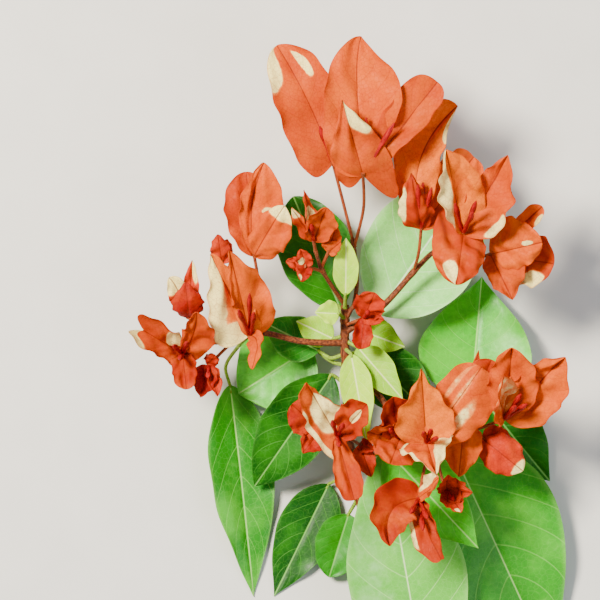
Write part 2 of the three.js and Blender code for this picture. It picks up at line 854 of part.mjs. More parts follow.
// A blade with two faces and a rim round them, its base and tip closed to an edge
function bladeSolid(shape, thickness, grid) {
  const surface = bladeSurface(shape);
  const { rows, columns } = grid;
  const inside = (value, low, high) => Math.min(Math.max(value, low), high);

  function skinSpot(share, across, height) {
    const row = inside(share, 1 - SKIN_END, SKIN_END);
    const column = inside(across, -SKIN_END, SKIN_END);
    const forward = surface(row + SKIN_STEP, column).sub(surface(row - SKIN_STEP, column));
    const sideways = surface(row, column + SKIN_STEP).sub(surface(row, column - SKIN_STEP));
    const spot = surface(share, across);
    spot.addScaledVector(sideways.cross(forward).normalize(), height);
    spot.z = Math.max(spot.z, GROUND + thickness / 2 + height);
    return spot.toArray();
  }

  const positions = [];
  for (const height of [thickness / 2, -thickness / 2]) {
    positions.push(...skinSpot(0, 0, height));
    for (let row = 1; row < rows; row += 1) {
      const share = (1 - Math.cos((Math.PI * row) / rows)) / 2;
      for (let column = 0; column <= columns; column += 1) {
        positions.push(...skinSpot(share, (2 * column) / columns - 1, height));
      }
    }
    positions.push(...skinSpot(1, 0, height));
  }
  const skinSize = 2 + (rows - 1) * (columns + 1);
  const at = (row, column) => {
    if (row === 0) return 0;
    if (row === rows) return skinSize - 1;
    return 1 + (row - 1) * (columns + 1) + column;
  };
  const triangles = [];
  const addTriangle = (a, b, c) => {
    if (a !== b && b !== c && c !== a) triangles.push(a, b, c);
  };
  for (let row = 0; row < rows; row += 1) {
    for (let column = 0; column < columns; column += 1) {
      const [a, b] = [at(row, column), at(row, column + 1)];
      const [c, d] = [at(row + 1, column + 1), at(row + 1, column)];
      addTriangle(a, b, c);
      addTriangle(a, c, d);
      addTriangle(a + skinSize, c + skinSize, b + skinSize);
      addTriangle(a + skinSize, d + skinSize, c + skinSize);
    }
    const [leftHere, leftNext] = [at(row, 0), at(row + 1, 0)];
    const [rightHere, rightNext] = [at(row, columns), at(row + 1, columns)];
    addTriangle(rightHere, rightHere + skinSize, rightNext + skinSize);
    addTriangle(rightHere, rightNext + skinSize, rightNext);
    addTriangle(leftHere, leftNext + skinSize, leftHere + skinSize);
    addTriangle(leftHere, leftNext, leftNext + skinSize);
  }
  return solidFrom(positions, triangles);
}

// Where a stalk starts so that its root lies SEAT_GAP clear of the limb that carries it
function rootOn(on, next, radius) {
  const [limbName, share] = on;
  const limb = carriers[limbName];
  const foot = limb.curve.getPoint(share);
  const axis = limb.curve.getTangent(share);
  const out = next.clone().sub(foot).normalize();
  const lean = Math.abs(out.dot(axis));
  const square = Math.sqrt(1 - lean * lean);
  const reach =
    share === 1
      ? (SEAT_GAP + radius * square) / lean
      : (between(limb.radii, share) + SEAT_GAP + radius * lean) / square;
  return foot.addScaledVector(out, reach);
}

const carriers = {};
const branch = new THREE.Group();

function addNode(name, solid, colour) {
  const { vertProperties, triVerts } = solid.getMesh();
  const geometry = new THREE.BufferGeometry();
  geometry.setAttribute("position", new THREE.BufferAttribute(vertProperties, 3));
  geometry.setIndex(new THREE.BufferAttribute(triVerts, 1));
  const material = new THREE.MeshStandardMaterial({
    color: COLOURS[colour], roughness: 0.6, metalness: 0,
  });
  const mesh = new THREE.Mesh(geometry, material);
  mesh.name = name;
  branch.add(mesh);
}

for (const limb of limbs) {
  const places = limb.points.map(vector);
  if (limb.on) places.unshift(rootOn(limb.on, places[0], limb.radii[0]));
  const curve = route(places);
  carriers[limb.name] = { curve, radii: limb.radii };
  addNode(limb.name, limbSolid(curve, limb.radii, LIMB_SIDES, places.length - 1), "stem");
}

for (const leaf of leaves) {
  const surface = bladeSurface(leaf);
  const places = [...leaf.stalk, leaf.base].map(vector);
  places.unshift(rootOn(leaf.on, places[0], PETIOLE_RADIUS));
  places.push(surface(PETIOLE_ENTRY, 0));
  const radii = [PETIOLE_RADIUS, PETIOLE_RADIUS * PETIOLE_TAPER];
  const petiole = limbSolid(route(places), radii, STALK_SIDES, places.length - 1);
  addNode(leaf.name, bladeSolid(leaf, LEAF_THICKNESS, LEAF_GRID).add(petiole), leaf.colour);
}

for (const bloom of blooms) {
  const places = [...bloom.stalk, bloom.heart].map(vector);
  places.unshift(rootOn(bloom.on, places[0], PEDICEL_RADIUS));
  const knob = bloom.small ? SMALL_HEART * HEART_RADIUS : HEART_RADIUS;
  const end = places.at(-1);
  places.push(end.clone().add(end.clone().sub(places.at(-2)).setLength(knob)));
  const pedicelRadii = [PEDICEL_RADIUS, PEDICEL_RADIUS, knob, knob * HEART_END];
  let solid = limbSolid(route(places), pedicelRadii, STALK_SIDES, places.length);
  for (const bract of bloom.bracts) {
    const shape = { ...BRACT_DEFAULTS, ...bract, base: bloom.heart };
    solid = solid.add(bladeSolid(shape, BRACT_THICKNESS, bloom.small ? BUD_GRID : BRACT_GRID));
  }
  for (const tip of bloom.tubes) {
    const tube = route([vector(bloom.heart), vector(tip)]);
    const radii = TUBE_PROFILE.map((size) => size * TUBE_RADIUS);
    solid = solid.add(limbSolid(tube, radii, STALK_SIDES, 3));
  }
  addNode(bloom.name, solid, bloom.colour ?? "bract");
}

// The origin is the middle of the branch's underside
const box = new THREE.Box3().setFromObject(branch);
const middle = box.getCenter(new THREE.Vector3());
branch.position.set(-middle.x, -middle.y, -box.min.z);
branch.updateMatrixWorld(true);

export default branch;
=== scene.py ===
from functools import partial

import bpy
import numpy as np
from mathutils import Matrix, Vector


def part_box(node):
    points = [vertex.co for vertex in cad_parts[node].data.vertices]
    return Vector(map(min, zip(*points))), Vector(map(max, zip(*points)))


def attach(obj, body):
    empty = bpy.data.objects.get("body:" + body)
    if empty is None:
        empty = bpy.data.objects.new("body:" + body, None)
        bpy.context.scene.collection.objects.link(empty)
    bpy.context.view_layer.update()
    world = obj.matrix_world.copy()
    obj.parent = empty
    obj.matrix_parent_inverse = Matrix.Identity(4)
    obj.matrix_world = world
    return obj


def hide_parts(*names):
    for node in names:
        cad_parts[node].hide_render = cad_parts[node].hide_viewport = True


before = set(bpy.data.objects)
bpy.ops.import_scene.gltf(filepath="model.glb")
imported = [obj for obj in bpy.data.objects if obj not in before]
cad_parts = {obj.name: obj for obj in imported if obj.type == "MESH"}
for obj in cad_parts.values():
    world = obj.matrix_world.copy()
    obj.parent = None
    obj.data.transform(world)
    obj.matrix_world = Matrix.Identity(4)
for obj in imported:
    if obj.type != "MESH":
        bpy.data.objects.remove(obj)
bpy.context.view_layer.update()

# A cut flowering branch of bougainvillea lying on its back, seen from above.
# Places are in millimetres round the picture's centre: x to the right, y towards the top, z up.
mm = 0.001  # metres in a millimetre

# Limbs: the points that each runs through, and its radius at the root and at the tip
limbs = dict(
    main_stem=dict(radii=[1.9, 1.2], points=[[34.2, -144, 2.2], [30.6, -122, 4.5], [25.9, -94, 8.5],
        [20.9, -68, 13], [17.3, -47, 17], [16.9, -29, 20], [16.2, -14, 22], [16.2, -1.8, 23.5]]),
    twig_left=dict(on=["main_stem", 0.84], radii=[1.25, 0.75], points=[[0.5, -14.9, 23],
        [-13.7, -11.9, 23], [-23.4, -14.4, 24], [-34.2, -15.6, 25]]),
    twig_buds=dict(on=["main_stem", 1], radii=[0.85, 0.6], points=[[11.2, 5.4, 29], [7.6, 11.5, 32],
        [5.6, 17.6, 34]]),
    twig_top=dict(on=["main_stem", 0.93], radii=[0.85, 0.7], points=[[19.6, -1.2, 24.4],
        [20.5, 8, 26], [18.9, 22, 29]]),
    twig_right=dict(on=["main_stem", 0.88], radii=[1.2, 0.8], points=[[30, -2, 26],
        [42.1, 11.5, 30], [48.6, 17.6, 33], [55, 19.8, 36]]),
    twig_lower=dict(on=["main_stem", 0.77], radii=[1.2, 0.8], points=[[28.1, -34, 25],
        [37.8, -47, 27], [47, -52, 28], [55, -50, 29]]),
)

# Leaves: on gives the limb that carries a leaf and how far along, stalk the places that its stalk
# runs through. base, tip and width set the blade and turn leans it about its midrib. fold, cup and
# roll, in degrees, bend its halves; round and widest shape their outline: each is one number for
# both halves or [left, right]. bow and sway bend the midrib out of its face and sideways. shade
# picks the tone, from 0, deep, over 1, light, to 2, lit; it is partly the blade's own tone and
# partly painted light, a blade set lighter or darker for the light that falls on it, and from 1 to
# 2 a painted lit tone. pale lists painted highlights, pale patches where the light falls brightest:
# how far along the middle is and how far out (-1 to 1), half the length and width, and at times a
# strength.
leaves = dict(
    leaf_big_pale=dict(on=["main_stem", 0.06], stalk=[[40, -141, 6.5]], base=[45, -136, 9],
        tip=[30.2, -52.6, 19], width=44, widest=0.42, cup=[14, 10], bow=0.02, tissue="lightLeaf",
        shade=0.5, pale=[(0.4, -0.6, 0.8, 0.6, 0.3)]),
    leaf_over_pale=dict(on=["main_stem", 0.52], stalk=[[25, -56.5, 20]], base=[31.7, -54.7, 23],
        tip=[64.4, -89.6, 25], width=27, cup=14),
    leaf_big_right=dict(on=["twig_lower", 0.97], stalk=[[57.5, -50.5, 20]], base=[55.8, -55.5, 12],
        tip=[91.4, -133, 1], width=53, widest=0.34, round=0.55, fold=[0, 6], cup=[4, 14], bow=0.02,
        shade=0.4),
    leaf_behind_right=dict(on=["twig_lower", 1], stalk=[[63, -44, 16]], base=[68, -38, 5],
        tip=[91, -66, 3.5], width=24, tissue="darkLeaf"),
    leaf_dark_left=dict(on=["main_stem", 0.7], base=[11.5, -27, 22], tip=[-16.6, -67.7, 8.5],
        width=26, widest=0.42, cup=[12, 16], bow=0.05, tissue="darkLeaf"),
    leaf_round_low=dict(on=["main_stem", 0.41], base=[17.6, -78, 6.2], tip=[10.6, -100.8, 4.6],
        width=18, widest=0.45, round=0.5, tissue="darkLeaf", shade=1),
    leaf_low_dark=dict(on=["main_stem", 0.5], stalk=[[16, -64, 9]], base=[10.5, -67, 3],
        tip=[-9.5, -108, 0.5], width=22, cup=6, tissue="darkLeaf", shade=0),
    leaf_pale_right=dict(on=["twig_right", 0.2], base=[28.1, -5, 20], tip=[65.9, 48.6, 10],
        width=42, widest=0.4, cup=[8, 12], bow=0.03, tissue="paleLeaf", shade=0.6),
    leaf_right=dict(on=["twig_lower", 0.9], stalk=[[56, -43, 20]], base=[62, -37, 12],
        tip=[66.2, 8.6, 3], width=42, widest=0.36, cup=[10, 14], shade=0.75),
    leaf_behind_buds=dict(on=["main_stem", 0.93], base=[14.5, -3, 17], tip=[-2.4, 37.5, 12],
        width=28, widest=0.5, cup=[14, 20], tissue="darkLeaf"),
    leaf_young_crisp=dict(on=["main_stem", 0.98], base=[16.4, 1.6, 30], tip=[16.6, 22.2, 36],
        width=9.6, widest=0.45, round=0.8, cup=18, tissue="youngLeaf"),
    leaf_young_folded=dict(on=["main_stem", 0.94], base=[14, -5, 28], tip=[5.4, -4.4, 29], width=11,
        fold=[30, 20], cup=20, tissue="youngLeaf"),
    leaf_left_green=dict(on=["main_stem", 0.8], stalk=[[11, -21, 18]], base=[7, -18.5, 15],
        tip=[-13.9, -7.6, 13], width=17),
    leaf_left_young=dict(on=["main_stem", 0.87], base=[12, -14, 19], tip=[-1.4, -7.6, 17.5],
        width=12, tissue="youngLeaf"),
    leaf_left_behind=dict(on=["main_stem", 0.76], stalk=[[11, -22, 14]], base=[4.3, -17, 9],
        tip=[-22.3, -34, 7], width=34, widest=0.45, cup=[14, 10], shade=1.3),
    leaf_left_long=dict(on=["twig_left", 0.62], stalk=[[-22.5, -17, 16], [-27, -24, 8]],
        base=[-25.5, -31, 4], tip=[-17, -108, 0.8], width=25, turn=-14, bow=0.02, shade=0.15),
    leaf_centre_young=dict(on=["main_stem", 0.9], base=[20.5, -10.5, 18.2], tip=[38, -17, 19],
        width=14, cup=[14, 20], tissue="youngLeaf"),
    leaf_by_stem=dict(on=["main_stem", 0.82], base=[18.4, -19.5, 27.6], tip=[24, -51, 31.5],
        width=12.5, turn=8, cup=[18, 22], tissue="youngLeaf"),
    leaf_centre_low=dict(on=["main_stem", 0.85], base=[20.8, -17, 24.2], tip=[37.2, -36, 29],
        width=13.5, tissue="youngLeaf"),
    leaf_centre_dark=dict(on=["main_stem", 0.8], base=[23.5, -18.5, 15.5], tip=[50.4, -45, 15],
        width=23, cup=[12, 16], tissue="darkLeaf"),
)

# Blooms: heart is where bracts and flower tubes meet the stalk, and tubes are the tubes' ends.
# Bracts take the same values as leaves. A negative cup shows a bract's back. halves widens each
# half, lobe draws its base back, prong its tip forward and hook the tip sideways; wave ruffles the
# edges, and crease scales the crumple. Small blooms are young, and red ones are small and younger.
blooms = dict(
    bloom_top_left=dict(on=["twig_top", 1], stalk=[[15, 37, 36]], heart=[11.9, 48.6, 42],
        tubes=[[7, 62, 50], [3, 60, 32], [9, 62, 34]], bracts=[
        dict(tip=[-8.3, 91.1, 45], shade=0.55, width=25.5, halves=[1, 0.94], widest=[0.38, 0.6],
            round=[0.28, 1.05], lobe=[0.5, 0.2], cup=[20, 22], bow=0.05, sway=0.03, wave=1.2,
            pale=[(0.85, -0.85, 0.17, 0.5), (0.79, 0.5, 0.12, 0.16)]),
        dict(tip=[5, 80, 18], width=22, cup=24, bow=0.05),
        dict(tip=[22, 62, 20], width=20, cup=24, bow=0.05)]),
    bloom_top=dict(on=["twig_top", 0.91], stalk=[[22.8, 33, 38]], heart=[22.5, 44.4, 51],
        tubes=[[23.6, 65, 55], [33.6, 63, 57], [27, 56, 53]], bracts=[
        dict(tip=[18.8, 93.8, 53], shade=0.85, width=33, halves=[0.8, 1], widest=[0.4, 0.58],
            round=[0.36, 1.5], cup=[18, 14], bow=-0.02, hook=0.06, wave=1.6),
        dict(tip=[14.9, 71.2, 60], shade=0.55, width=23.4, halves=[0.8, 1], widest=0.26,
            round=[0.4, 0.5], lobe=[1, 2.2], cup=[-26, -20], bow=0.06, wave=0.6,
            pale=[(0.8, 0.6, 0.26, 0.66)]),
        dict(tip=[49, 77.8, 53], shade=0.5, width=17, halves=[1.1, 0.8], widest=0.72, round=0.8,
            turn=-8, cup=[24, 14])]),
    bloom_right_upper=dict(on=["twig_right", 0.47], stalk=[[42.6, 17, 38]], heart=[43.4, 25.4, 41],
        tubes=[[42, 41, 52], [47, 40, 50], [44, 42, 46]], bracts=[
        dict(tip=[56.5, 69.5, 42], shade=1.5, width=21.5, halves=[1, 0.75], widest=[0.66, 0.45],
            round=0.9, sway=-0.16, cup=[14, 26], bow=-0.02, wave=1.4,
            pale=[(0.84, 0.9, 0.12, 0.3)]),
        dict(tip=[62.6, 51.5, 30], width=19, halves=[1, 0.85], widest=0.66, turn=12, cup=[20, 16]),
        dict(tip=[39.6, 45.4, 50], shade=0.2, width=15, halves=[1, 0.75], widest=0.36,
            cup=[-50, -44], bow=0.13, lobe=0.3, wave=0.5, pale=[(0.5, -0.85, 0.3, 0.3)])]),
    bloom_right_middle=dict(on=["twig_right", 1], heart=[58.3, 23.8, 48], tubes=[[55.1, 34.2, 62],
        [62.5, 35, 64], [61.2, 31, 68]], bracts=[
        dict(tip=[51.8, 53.3, 64], shade=1.5, width=22, halves=[0.7, 1], widest=0.46, turn=6,
            fold=[24, 8], cup=[40, 16], bow=-0.04, wave=0.6, pale=[(0.6, -0.8, 0.5, 0.55)]),
        dict(tip=[73.8, 51.5, 60], shade=0.6, width=20, halves=[0.6, 1.3], turn=-10, cup=[26, 34],
            bow=-0.04, pale=[(0.3, 0.9, 0.16, 0.2)]),
        dict(tip=[55.6, 5.4, 58], shade=0.35, width=19, halves=[0.95, 1.15], widest=0.4, round=0.4,
            cup=[-26, -18], bow=0.1, lobe=[0.8, 2.4], wave=0.8, pale=[(0.8, 0.35, 0.2, 0.35)])]),
    bloom_right_low=dict(on=["twig_right", 0.86], stalk=[[56, 13.5, 33], [63.5, 15, 37]],
        heart=[68.2, 16.4, 40], tubes=[[77, 15, 33], [73, 9, 33], [76, 22, 34]], bracts=[
        dict(tip=[86.4, 20.6, 49], shade=1.1, width=19, halves=[1.2, 0.8], widest=0.5, round=0.5,
            cup=[-30, -26], bow=0.16, wave=0.6, pale=[(0.78, -0.1, 0.1, 0.1)]),
        dict(tip=[86.6, 33.4, 46], width=8, widest=0.72, round=0.9, cup=[34, 30], bow=-0.05,
            pale=[(0.85, 0.9, 0.1, 0.4)]),
        dict(tip=[76, 0, 47], width=16, halves=[1.3, 0.6], widest=0.4, cup=[-30, -24], bow=0.14,
            lobe=0.4),
        dict(tip=[91, 13, 42], shade=0.3, width=20, widest=0.64, round=0.8, cup=[26, 30], bow=-0.04,
            pale=[(0.7, 0.8, 0.2, 0.45)])]),
    bloom_left_high=dict(on=["twig_left", 0.5], stalk=[[-14.6, 4, 27]], heart=[-16.4, 15.6, 33],
        tubes=[[-13.5, 31, 38], [-16, 30, 34], [-12, 28, 32]], bracts=[
        dict(tip=[-13, 49.3, 40], shade=0.9, width=17, halves=[0.55, 1.35], widest=0.5, turn=8,
            sway=-0.08, cup=[22, 18], bow=0.05, pale=[(0.5, 0.6, 0.05, 0.3)]),
        dict(tip=[-5.6, 33.6, 46], shade=0.8, width=15, halves=[0.8, 1.15], widest=0.5, turn=-8,
            cup=[-30, -36], bow=0.12, pale=[(0.95, 0, 0.16, 1.5)]),
        dict(tip=[-19.4, 46.1, 31], width=17, halves=[1.1, 0.9], widest=0.55, cup=24)]),
    bloom_left_middle=dict(on=["twig_left", 0.56], heart=[-18, -12.8, 32], tubes=[[-18, 2.2, 50],
        [-22, -3.6, 50], [-16.4, -4.4, 48]], bracts=[
        dict(tip=[-32, 16.4, 46], shade=1.4, width=25, halves=[1, 0.56], widest=[0.2, 0.32],
            round=[0.3, 0.25], lobe=[0.1, 0], fold=10, cup=[14, 36], roll=[10, 0], bow=-0.02,
            wave=0.4, pale=[(0.95, -1, 0.88, 1), (0.02, -0.55, 0.22, 0.8)]),
        dict(tip=[-25.2, 17.6, 53], shade=1.2, width=19, halves=[0.4, 1.2], widest=0.34, round=0.5,
            turn=8, cup=[28, 20], wave=1.9),
        dict(tip=[-17.3, -24.8, 43], shade=0.7, width=7, widest=0.55, sway=-0.26, turn=30, cup=30,
            bow=0.14)]),
    bloom_left_low=dict(on=["twig_left", 1], heart=[-42.2, -19.4, 30], tubes=[[-45.4, -16.2, 45],
        [-40.4, -15, 47], [-43, -21, 47]], bracts=[
        dict(tip=[-37, -4.4, 47], shade=0.4, width=15, halves=[0.6, 1.05], widest=0.52, turn=6,
            cup=[30, 22], bow=-0.02, sway=0.06, lobe=[0.5, 0.8], wave=0.6),
        dict(tip=[-56.2, -10.8, 42], shade=0.4, width=15, widest=0.62, prong=1.8, fold=16,
            cup=[50, 44], bow=0.05, pale=[(0.38, 0.6, 0.2, 0.6), (0.95, -0.9, 0.24, 0.3)]),
        dict(tip=[-40.7, -32, 40], width=10, widest=0.58, cup=[30, 34], bow=0.1)]),
    bloom_left_half_closed=dict(on=["twig_left", 0.9], stalk=[[-35, -11, 25]],
        heart=[-40, -6.6, 24], red=True, tubes=[[-41.5, 3, 29]], bracts=[
        dict(tip=[-45.9, 8.6, 29], width=8, widest=0.6, round=0.8, hook=-0.08, cup=20, bow=0.04,
            pale=[(0.9, 0, 0.3, 1.5)]),
        dict(tip=[-38.9, 14.4, 27], width=6.5, widest=0.46, round=0.9, cup=20, bow=0.04,
            pale=[(0.9, 0.6, 0.3, 0.5)]),
        dict(tip=[-41.2, 6.6, 32], width=12.6, widest=0.45, round=0.7, crease=0.4, cup=-46,
            bow=0.22, wave=0.4)]),
    bloom_left_small=dict(on=["twig_left", 0.76], heart=[-33.1, -23.6, 28], red=True,
        tubes=[[-33, -28, 35]], bracts=[
        dict(tip=[-35.8, -35, 34], width=10, cup=[40, 30]),
        dict(tip=[-29.6, -34.6, 34], width=7, turn=-30, cup=[30, 40]),
        dict(tip=[-30.6, -19.6, 32], width=6, cup=-40)]),
    bud_left=dict(on=["twig_left", 0.68], stalk=[[-27, -2, 26]], heart=[-28.1, 13.2, 30], red=True,
        bracts=[
        dict(tip=[-29.6, 23.6, 34], width=8, cup=-50, bow=0.1),
        dict(tip=[-26.2, 22, 29], width=7, cup=40)]),
    bud_upper=dict(on=["twig_buds", 1], heart=[4.9, 21, 38], small=True, tubes=[[4, 27, 47]],
        bracts=[
        dict(tip=[1.4, 39.4, 44], width=7, round=0.9, turn=50, cup=30, pale=[(0.55, 0, 0.15, 0.8)]),
        dict(tip=[9.4, 33, 50], width=12, turn=14, cup=40, widest=0.58),
        dict(tip=[-3, 33, 48], width=6, turn=-40, cup=[40, 30], pale=[(0.9, 0, 0.2, 1)])]),
    bud_upper_right=dict(on=["twig_buds", 0.66], heart=[10.2, 17.2, 36], small=True, bracts=[
        dict(tip=[13, 27, 39], width=7, cup=-40, bow=0.1),
        dict(tip=[14.6, 20.8, 40], width=6, cup=40)]),
    bud_upper_left=dict(on=["twig_buds", 0.6], heart=[2.2, 12, 38], red=True, bracts=[
        dict(tip=[-5, 14, 40], width=6, cup=[40, 30]),
        dict(tip=[0.4, 6.6, 42], width=6, cup=30, pale=[(0.8, 0.4, 0.2, 0.4)]),
        dict(tip=[0.2, 18.2, 43], width=7, cup=[30, 40], pale=[(0.4, -0.3, 0.2, 0.4)])]),
    bloom_centre_small=dict(on=["main_stem", 0.91], heart=[23, -6.4, 33], red=True,
        tubes=[[24.6, -4, 41]], bracts=[
        dict(tip=[26.8, 2.6, 41], width=12, widest=0.6, cup=24),
        dict(tip=[30.2, -7, 38], width=6, cup=40),
        dict(tip=[21.8, -17.6, 36], width=8, widest=0.6, cup=[30, 34])]),
    bloom_lower_left=dict(on=["main_stem", 0.6], stalk=[[14, -48, 30]], heart=[13.3, -49, 40],
        tubes=[[11.5, -43, 54], [15.5, -44, 53], [14, -52, 55]], bracts=[
        dict(tip=[2.2, -29.5, 53], shade=0.8, width=16, halves=[1, 0.85], widest=[0.45, 0.25],
            round=[0.4, 0.5], cup=[30, 24], bow=-0.06, lobe=[2.2, 0.3], wave=0.6,
            pale=[(0.4, 0.2, 0.36, 0.8), (0.3, -0.95, 0.4, 0.16)]),
        dict(tip=[23.8, -37.1, 52], width=14, widest=0.6, turn=-14, cup=40, bow=-0.04,
            pale=[(0.6, 0, 0.2, 0.2)]),
        dict(tip=[19.4, -71.3, 54], shade=0.3, width=10.4, widest=0.74, cup=[30, 34], bow=0.06,
            wave=0.6)]),
    bloom_lower_left_behind=dict(on=["main_stem", 0.57], stalk=[[14, -51.5, 26]],
        heart=[7.6, -46.5, 29], red=True, bracts=[
        dict(tip=[-3, -37.6, 36], width=14, widest=0.55, cup=[-30, -24], bow=0.1),
        dict(tip=[1, -55, 34], width=11, cup=30),
        dict(tip=[6.5, -36, 33], width=11, cup=30)]),
    bud_lower_small=dict(on=["main_stem", 0.55], heart=[21.5, -52, 31], red=True, bracts=[
        dict(tip=[25.6, -63.6, 36], width=8, cup=-30, bow=0.1),
        dict(tip=[26.6, -54, 37], width=6, cup=[30, 40])]),
    bloom_lower_centre=dict(on=["twig_lower", 0.82], heart=[45.4, -51.4, 40],
        tubes=[[46.8, -46, 58], [44, -47, 57], [49, -49, 58]], bracts=[
        dict(tip=[43.2, -24.5, 54], shade=1.6, width=24, widest=0.33, round=0.8, fold=20, cup=12,
            bow=-0.03, wave=0.3, crease=0.3),
        dict(tip=[64.8, -24.1, 47], shade=0.8, width=22, halves=[0.8, 1.2], widest=0.64,
            cup=[-24, -28], bow=0.08, pale=[(0.75, -0.5, 0.3, 0.14, 0.4),
            (0.66, -0.05, 0.35, 0.12, 0.42), (0.45, 0.4, 0.26, 0.2, 0.5)]),
        dict(tip=[48.6, -62.6, 60], shade=0.9, width=20, widest=0.26, round=0.5, fold=10, cup=10,
            bow=0.1, lobe=0.3, wave=0.4, pale=[(0.5, -0.7, 0.6, 0.5), (0.5, 1, 0.6, 0.16)])]),
    bloom_lower_centre_left=dict(on=["twig_lower", 0.58], heart=[35.6, -50, 36],
        tubes=[[32, -46, 47], [35.6, -44.6, 46]], bracts=[
        dict(tip=[33.4, -34.6, 48], width=15, widest=0.56, turn=14, cup=[30, 40], bow=-0.05),
        dict(tip=[24, -47.4, 45], width=13, turn=-20, cup=[36, 30]),
        dict(tip=[32.2, -58.6, 46], width=17, widest=0.5, cup=[-24, -30], bow=0.12)]),
    bloom_lower_behind=dict(on=["twig_lower", 0.94], stalk=[[56.5, -44.5, 32]], heart=[59, -43, 34],
        small=True, bracts=[
        dict(tip=[64.2, -18, 36], width=7, round=0.9, turn=30, cup=30),
        dict(tip=[68.6, -21.4, 40], width=14, widest=0.6, cup=26),
        dict(tip=[56.9, -63.4, 40], width=15, cup=[-30, -34], bow=0.1)]),
    bloom_lower_right=dict(on=["twig_lower", 1], stalk=[[65, -46, 33]], heart=[73.1, -42.6, 45],
        tubes=[[78.5, -33.5, 61], [76.6, -37.6, 63], [80.6, -37, 61]], bracts=[
        dict(tip=[75.3, -17, 60], shade=0.7, width=19, halves=[0.75, 1.2], widest=0.52, turn=-6,
            cup=22, bow=-0.04),
        dict(tip=[94.3, -20.4, 60], shade=1.2, width=20, halves=[0.75, 1.25], widest=0.46, turn=10,
            cup=[16, 36], bow=-0.05),
        dict(tip=[72.2, -27.2, 67], width=15, turn=48, cup=[50, 40], bow=-0.08, lobe=[0.6, 1.4],
            pale=[(0.6, 0.2, 0.5, 0.9, 0.48)])]),
    bloom_lower_right_small=dict(on=["twig_lower", 0.985], stalk=[[60, -52, 29]],
        heart=[65.6, -49.8, 31], red=True, bracts=[
        dict(tip=[80, -61.4, 35], width=15, widest=0.5, cup=-30, bow=0.12,
            pale=[(0.95, 0, 0.12, 1)]),
        dict(tip=[76, -50, 28], width=11, cup=30)]),
    bloom_hanging_left=dict(on=["twig_lower", 0.76], stalk=[[44.8, -60, 34]], heart=[42.6, -71, 40],
        tubes=[[43.8, -82, 54], [39.4, -76, 55], [45.4, -78, 54]], bracts=[
        dict(tip=[32, -87.8, 52], shade=0.1, width=19, sway=0.26, cup=[34, 40], bow=0.06, lobe=0.6),
        dict(tip=[50.4, -92.6, 50], width=13, widest=0.5, prong=0.7, turn=30, cup=[44, 40],
            bow=0.08, pale=[(0.4, 0.9, 0.3, 0.2)]),
        dict(tip=[49.3, -63.4, 57], width=10, widest=0.6, turn=-56, cup=40, bow=-0.04,
            pale=[(0.6, -0.7, 0.5, 0.4)])]),
    bud_hanging_right=dict(on=["twig_lower", 0.84], stalk=[[50, -60, 33]], heart=[52.4, -68.2, 37],
        red=True, tubes=[[54.8, -71.5, 44]], bracts=[
        dict(tip=[61.6, -69, 45], width=10, cup=40),
        dict(tip=[57.8, -76, 45], width=9, cup=40, pale=[(0.9, 0.3, 0.15, 0.4)]),
        dict(tip=[53, -62.6, 45], width=9, turn=20, cup=40)]),
)


# A unit vector along each row of an array
def unit(rows):
    return rows / np.linalg.norm(rows, axis=-1, keepdims=True)


# Points at the given shares of a smooth curve through places: between two places it is the cubic
# whose slope at a place is half the step between that place's neighbours
def along(places, shares):
    places = np.asarray(places, float)
    padded = np.vstack([2 * places[0] - places[1], places, 2 * places[-1] - places[-2]])
    spot = np.atleast_1d(shares) * (len(places) - 1)
    first = np.clip(spot.astype(int), 0, len(places) - 2)
    step = (spot - first)[:, None]
    before, here, after, beyond = (padded[first + k] for k in range(4))
    slopeHere, slopeAfter = (after - before) / 2, (beyond - here) / 2
    cubic = 2 * here - 2 * after + slopeHere + slopeAfter
    square = 3 * after - 3 * here - 2 * slopeHere - slopeAfter
    return ((cubic * step + square) * step + slopeHere) * step + here


# Values at the given shares of an evenly spaced list
def between(values, shares):
    return np.interp(shares, np.linspace(0, 1, len(values)), values)


# The shell of a limb or stalk: rings about a path, each point at its ring's centre plus its radius
# times (cos·side + sin·up), closed by a point at either end. radius is an array of rings x sides.
def ringShell(path, radius):
    steps, sides = radius.shape
    ahead = unit(np.gradient(path, axis=0))
    level = np.eye(3)[np.argmin(np.abs(ahead).mean(0))]
    side = unit(np.cross(level, ahead))
    up = np.cross(ahead, side)
    angle = 2 * np.pi * np.arange(sides) / sides
    ring = np.cos(angle)[:, None] * side[:, None] + np.sin(angle)[:, None] * up[:, None]
    points = path[:, None] + radius[..., None] * ring
    vertices = np.vstack([points.reshape(-1, 3), path[:1], path[-1:]])
    here = np.arange(steps * sides).reshape(steps, sides)
    turned = np.roll(here, -1, axis=1)
    quads = np.stack([here[:-1], turned[:-1], turned[1:], here[1:]], -1).reshape(-1, 4)
    rootFan = np.stack([turned[0], here[0], np.full(sides, here.size)], -1)
    endFan = np.stack([here[-1], turned[-1], np.full(sides, here.size + 1)], -1)
    share = np.append(np.repeat(np.linspace(0, 1, steps), sides), [0, 1])
    turn = np.append(np.tile(np.arange(sides) / sides, steps), [0, 0])
    return dict(vertices=vertices, quads=quads, triangles=np.vstack([rootFan, endFan]),
                place=np.stack([share, turn, 0 * share], -1))


bladeDefaults = dict(turn=0, halves=1, fold=6, cup=16, roll=0, bow=0, sway=0, hook=0,
                     lobe=0, prong=0, wave=0, round=0.7, widest=0.38, crease=1, stalk=[],
                     pale=[], tissue="leaf")
bractDefaults = dict(round=0.6, widest=0.42, lobe=0.2, wave=1)
bloomDefaults = dict(stalk=[], tubes=[], small=False, red=False)
bladeForm = dict(
    waves=2.3,  # waves along each edge of a bract
    halfShift=0.37,  # how far the right edge's waves are behind the left's
    widthShift=9,  # width in millimetres that shifts the waves by one
    rollFrom=0.6,  # share of the half width where the rolled edge begins
    hookPower=6,  # the higher, the nearer the tip the hook begins
    bends=24,  # steps that the bend across a half is summed in
    ahead=0.01,  # share of the length over which the midrib's heading is taken
)


